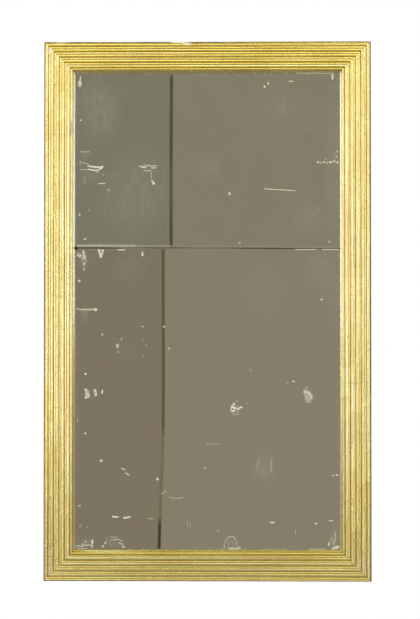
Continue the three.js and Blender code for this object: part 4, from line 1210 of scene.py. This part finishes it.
def spun(name, profile, sides, shape=None):
    # a closed turned template about Z; shape may move a point once it is placed
    work = bmesh.new()
    rings = []
    for radius, z in profile:
        if radius < 1e-9:
            rings.append([work.verts.new((0, 0, z))])
            continue
        angles = [2 * math.pi * i / sides for i in range(sides)]
        ring = [Vector((radius * math.cos(a), radius * math.sin(a), z)) for a in angles]
        rings.append([work.verts.new(shape(p) if shape else p) for p in ring])
    for low, high in zip(rings, rings[1:]):
        for i in range(sides):
            j = (i + 1) % sides
            corners = [low[i % len(low)], low[j % len(low)], high[j % len(high)], high[i % len(high)]]
            work.faces.new(list(dict.fromkeys(corners)))
    bmesh.ops.recalc_face_normals(work, faces=work.faces)
    return linked(name, meshFrom(work, name))


def nailTemplate(s):
    # a forged nail: a tapering shank, and a rose head struck with five facets
    head, rise, shank, point = s["nailHead"], s["nailRise"], s["nailShank"], -s["nailLength"]

    def struck(p):
        if p.z > -0.001:
            facet = 0.5 + 0.5 * math.cos(5 * math.atan2(p.y, p.x))
            return Vector((p.x * (0.90 + 0.10 * facet), p.y * (0.90 + 0.10 * facet), p.z + 0.00018 * facet))
        return p

    profile = [(0, point), (shank * 0.35, point + 0.001), (shank, -0.0011), (head * 0.9, -0.0007),
               (head, 0.0), (head * 0.62, rise * 0.55), (head * 0.2, rise * 0.92), (0, rise)]
    return spun("nailTemplate", profile, 20, struck)


def pegTemplate(s):
    # a riven peg, roughly eight-sided, its end pared off
    r, length = s["pegRadius"], s["pegLength"]

    def pared(p):
        angle = math.atan2(p.y, p.x)
        flat = 0.965 + 0.035 * math.cos(8 * angle)
        return Vector((p.x * flat, p.y * flat, p.z + (0.0002 * math.sin(2 * angle) if p.z > -0.001 else 0)))

    profile = [(0, -length), (r * 0.8, -length), (r * 0.97, -length / 2), (r, -0.0006), (r * 0.93, -0.0001),
               (r * 0.5, 0.0), (0, 0.0)]
    return spun("pegTemplate", profile, 32, pared)


def screwTemplate(s):
    # domed head with a filed slot; the lines of points lie on both lips of the slot
    r, rise, slotHalf = s["screwHead"], s["screwRise"], s["screwSlot"]
    columns = [slotHalf, slotHalf * 1.25] + [r * share for share in (0.28, 0.5, 0.75, 0.92, 1)]
    across = sorted({round(sign * column, 6) for sign in (-1, 1) for column in columns})
    rows = [r * math.sin(math.pi / 2 * i / 8) for i in range(-8, 9)]
    work = bmesh.new()
    grid = []
    for x in across:
        reach = math.sqrt(max(r * r - x * x, (0.12 * r) ** 2))
        line = []
        for t in rows:
            y = t / r * reach
            dome = rise * math.sqrt(max(0.0, 1 - min(1.0, (x * x + y * y) / (r * r * 1.002))))
            inSlot = abs(x) <= slotHalf * 1.01
            line.append(work.verts.new((x, y, min(dome, rise * 0.35) if inSlot else dome)))
        grid.append(line)
    for a, b in zip(grid, grid[1:]):
        for j in range(len(rows) - 1):
            work.faces.new((a[j], b[j], b[j + 1], a[j + 1]))
    rim = [e for e in work.edges if e.is_boundary]
    lowered = bmesh.ops.extrude_edge_only(work, edges=rim)["geom"]
    for v in (g for g in lowered if isinstance(g, bmesh.types.BMVert)):
        v.co.z = -0.0001
    bmesh.ops.holes_fill(work, edges=[e for e in work.edges if e.is_boundary])
    bmesh.ops.recalc_face_normals(work, faces=work.faces)
    return linked("screwTemplate", meshFrom(work, "screwTemplate"))


# share of rust and depth of its pits
iron = {
    "strap": (0.62, 0.00028), "nails": (0.85, 0.00022), "ring": (0.5, 0.00022),
    "scaleDark": (0.030, 0.027, 0.025), "scalePale": (0.085, 0.077, 0.070), "worn": (0.26, 0.245, 0.23),
    "dust": (0.30, 0.27, 0.22),
}


def ironMaterial(name, use, s):
    rusty, pits = s[use]
    material, shader, at = newMaterial(name)
    corroded = place(rust, Place=at, Amount=rusty)
    worn = place(arrisWear, Place=at, Amount=0.8)["Mask"]
    scale = grit(at, 240, 5, 0.6)
    colour = tint(remap(scale, 0.3, 0.7), s["scaleDark"], s["scalePale"])
    colour = tint(corroded["Mask"], colour, corroded["Colour"])
    colour = tint(times(worn, 0.7), colour, s["worn"])
    dirt = place(grime, Place=at, Size=30.0, Amount=0.4)
    colour = tint(times(dirt["Dust"], 0.5), colour, s["dust"])
    metal = timesPlus(corroded["Mask"], -0.85, 0.95, clamp=True)
    rough = timesPlus(corroded["Mask"], 0.38, timesPlus(scale, 0.2, 0.36), clamp=True)
    wire(shader, colour=colour, metal=metal, rough=rough,
         normal=relief(timesPlus(scale, 0.7, corroded["Height"]), pits, 0.9))
    return material


def setFixings(name, tree, places, template, chances, finish, replaced):
    mesh = bpy.data.meshes.new("places")
    mesh.from_pydata(places, [], [])
    spots = linked("places", mesh)
    lean, vary, seed = chances
    piece = madeByNodes(name, tree, {"Places": spots, "Template": template, "Turn": math.pi, "Lean": lean,
                                     "Vary": vary, "Seed": seed, "Finish": finish})
    bpy.data.objects.remove(spots)
    bpy.data.objects.remove(template)
    smoothed(piece.data, 32)
    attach(piece, "frame")
    if replaced:
        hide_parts(*replaced)


def buildFixings(s):
    tree = buildSetFixings()
    nailIron, screwIron = ironMaterial("nailIron", "nails", iron), ironMaterial("screwIron", "strap", iron)

    def centres(start, depth):
        found = sorted(node for node in nodes if node.startswith(start))
        middles = [sum(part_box(node), Vector()) / 2 for node in found]
        return found, [(middle.x, depth, middle.z) for middle in middles]

    nails, spots = centres("nail_", s["nailFace"])
    setFixings("forged_nails", tree, spots, nailTemplate(s), s["nails"], nailIron, nails)
    # the boards are nailed to the batten as well
    columns = sorted({round(x, 4) for x, y, z in spots})
    extra = [(x, s["battenNailFace"],
              s["battenHeight"] + s["battenWander"] * math.sin(37 * x)) for x in columns]
    setFixings("batten_nails", tree, extra, nailTemplate(s), s["battenNails"], nailIron, [])
    pegWood = woodMaterial("pegOak", softwood, softwood["oakEarly"], softwood["oakLate"], "x", 17.0)
    pegs, spots = centres("corner_peg", s["pegFace"])
    setFixings("corner_pegs", tree, spots, pegTemplate(s), s["pegs"], pegWood, pegs)
    screws, spots = centres("hanger_screw", s["screwFace"])
    setFixings("slotted_screws", tree, spots, screwTemplate(s), s["screws"], screwIron, screws)


buildFixings(fixings)
print("fixings set")


# the two hangers: a strap rolled into an eye, and a D ring that swings in it
hanger = {
    "axisY": 0.005, "axisZ": 0.640, "x": 0.454, "width": 0.018, "thick": 0.002, "eyeRadius": 0.005,
    "foot": 0.084, "straightSteps": 46, "rolledSteps": 56, "rolledTurn": 352, "columns": 12,
    "dent": 0.00006, "wire": 0.0025, "corner": 0.005, "leg": 0.005, "bow": 0.015, "wireSides": 20,
    "barSteps": 20, "cornerSteps": 12, "legSteps": 4, "bowSteps": 56, "swell": 0.00007, "wireEase": 0.00003,
    "weld": 0.00016, "weldPlace": 0.009, "weldLength": 0.003,
}


def loft(work, loops):
    for low, high in zip(loops, loops[1:]):
        for j in range(len(low)):
            k = (j + 1) % len(low)
            work.faces.new((low[j], low[k], high[k], high[j]))


def buildStrap(side, name, s, finish):
    mid, straight, rolled = s["eyeRadius"] - s["thick"] / 2, s["straightSteps"], s["rolledSteps"]
    toe = s["axisZ"] - s["foot"]
    # y and z along the middle of the iron, and its outward side
    track = [(s["thick"] / 2, toe + s["foot"] * i / straight, 1.0, 0.0) for i in range(straight)]
    for i in range(rolled + 1):
        a = math.radians(-180 + s["rolledTurn"] * i / rolled)
        y, z = s["axisY"] + mid * math.cos(a), s["axisZ"] - mid * math.sin(a)
        track.append((y, z, -math.cos(a), math.sin(a)))
    work = bmesh.new()
    layers = []
    for i, (y, z, ny, nz) in enumerate(track):
        up, half = z - toe, s["width"] / 2
        if i < straight and up < half:      # rounded foot
            half = math.sqrt(max(half * half - (half - up) ** 2, (0.16 * half) ** 2))
        half *= 1 - 0.012 * abs(noise.noise(Vector((z * 60, side, 0))))
        loop = []
        for sign in (1, -1):
            for j in range(s["columns"] + 1):
                across = (2 * j / s["columns"] - 1) * sign
                edge = 1 - max(0, abs(across) - 0.93) / 0.07 * 0.3
                dent = s["dent"] * noise.noise(Vector((across * 3, z * 140, 4.2 * side)))
                out = sign * s["thick"] / 2 * edge + dent
                loop.append(work.verts.new((side * s["x"] + across * half, y + ny * out, z + nz * out)))
        layers.append(loop)
    loft(work, layers)
    for cap in (layers[0], layers[-1]):
        work.faces.new(cap)
    bmesh.ops.recalc_face_normals(work, faces=work.faces)
    arris = work.faces.layers.float.new("arris")
    for face in work.faces:
        across = abs(face.calc_center_median().x - side * s["x"]) / (s["width"] / 2)
        face[arris] = 1.0 if across > 0.9 else 0.0
    piece = linked("hanger_plate_" + name, smoothed(meshFrom(work, "strap"), 45), finish)
    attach(piece, "frame")
    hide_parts("hanger_strap_" + name)


def buildRing(side, name, s, finish):
    r, leg, bow = s["corner"], s["leg"], s["bow"]
    bar, foot = bow - r, -r - leg
    steps = lambda count, whole: [whole * i / count for i in range(count)]
    path = [(x - bar, 0.0) for x in steps(s["barSteps"], 2 * bar)]
    path += [(bar + r * math.sin(a), -r + r * math.cos(a)) for a in steps(s["cornerSteps"], math.pi / 2)]
    path += [(bow, -r - down) for down in steps(s["legSteps"], leg)]
    path += [(bow * math.cos(a), foot - bow * math.sin(a)) for a in steps(s["bowSteps"], math.pi)]
    path += [(-bow, foot + up) for up in steps(s["legSteps"], leg)]
    path += [(-bar - r * math.cos(a), -r + r * math.sin(a)) for a in steps(s["cornerSteps"], math.pi / 2)]
    count, sides = len(path), s["wireSides"]
    work = bmesh.new()
    loops = []
    for i, (x, z) in enumerate(path):
        tangent = (Vector(path[(i + 1) % count]) - Vector(path[i - 1])).normalized()
        inEye = abs(z) < 0.001 and abs(x) < 0.0105
        swell = 0.0 if inEye else s["swell"] * noise.noise(Vector((x * 160, z * 160, side * 2.5)))
        weld = s["weld"] * math.exp(-((x - s["weldPlace"]) / s["weldLength"]) ** 2) if z < -0.02 else 0.0
        loop = []
        for j in range(sides):
            a = 2 * math.pi * j / sides
            radius = s["wire"] + swell * (1 if j % 2 else 0.4) - s["wireEase"] + weld
            loop.append(work.verts.new((side * s["x"] + x + tangent.y * radius * math.cos(a),
                                        s["axisY"] + radius * math.sin(a),
                                        s["axisZ"] + z - tangent.x * radius * math.cos(a))))
        loops.append(loop)
    loft(work, loops + loops[:1])
    bmesh.ops.recalc_face_normals(work, faces=work.faces)
    piece = linked("d_ring_" + name, smoothed(meshFrom(work, "ring"), 60), finish)
    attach(piece, "ring_" + name)
    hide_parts("hanger_ring_" + name)


strapFinish, ringFinish = ironMaterial("strapIron", "strap", iron), ironMaterial("ringIron", "ring", iron)
for side, name in ((-1, "left"), (1, "right")):
    buildStrap(side, name, hanger, strapFinish)
    buildRing(side, name, hanger, ringFinish)
print("hangers forged")
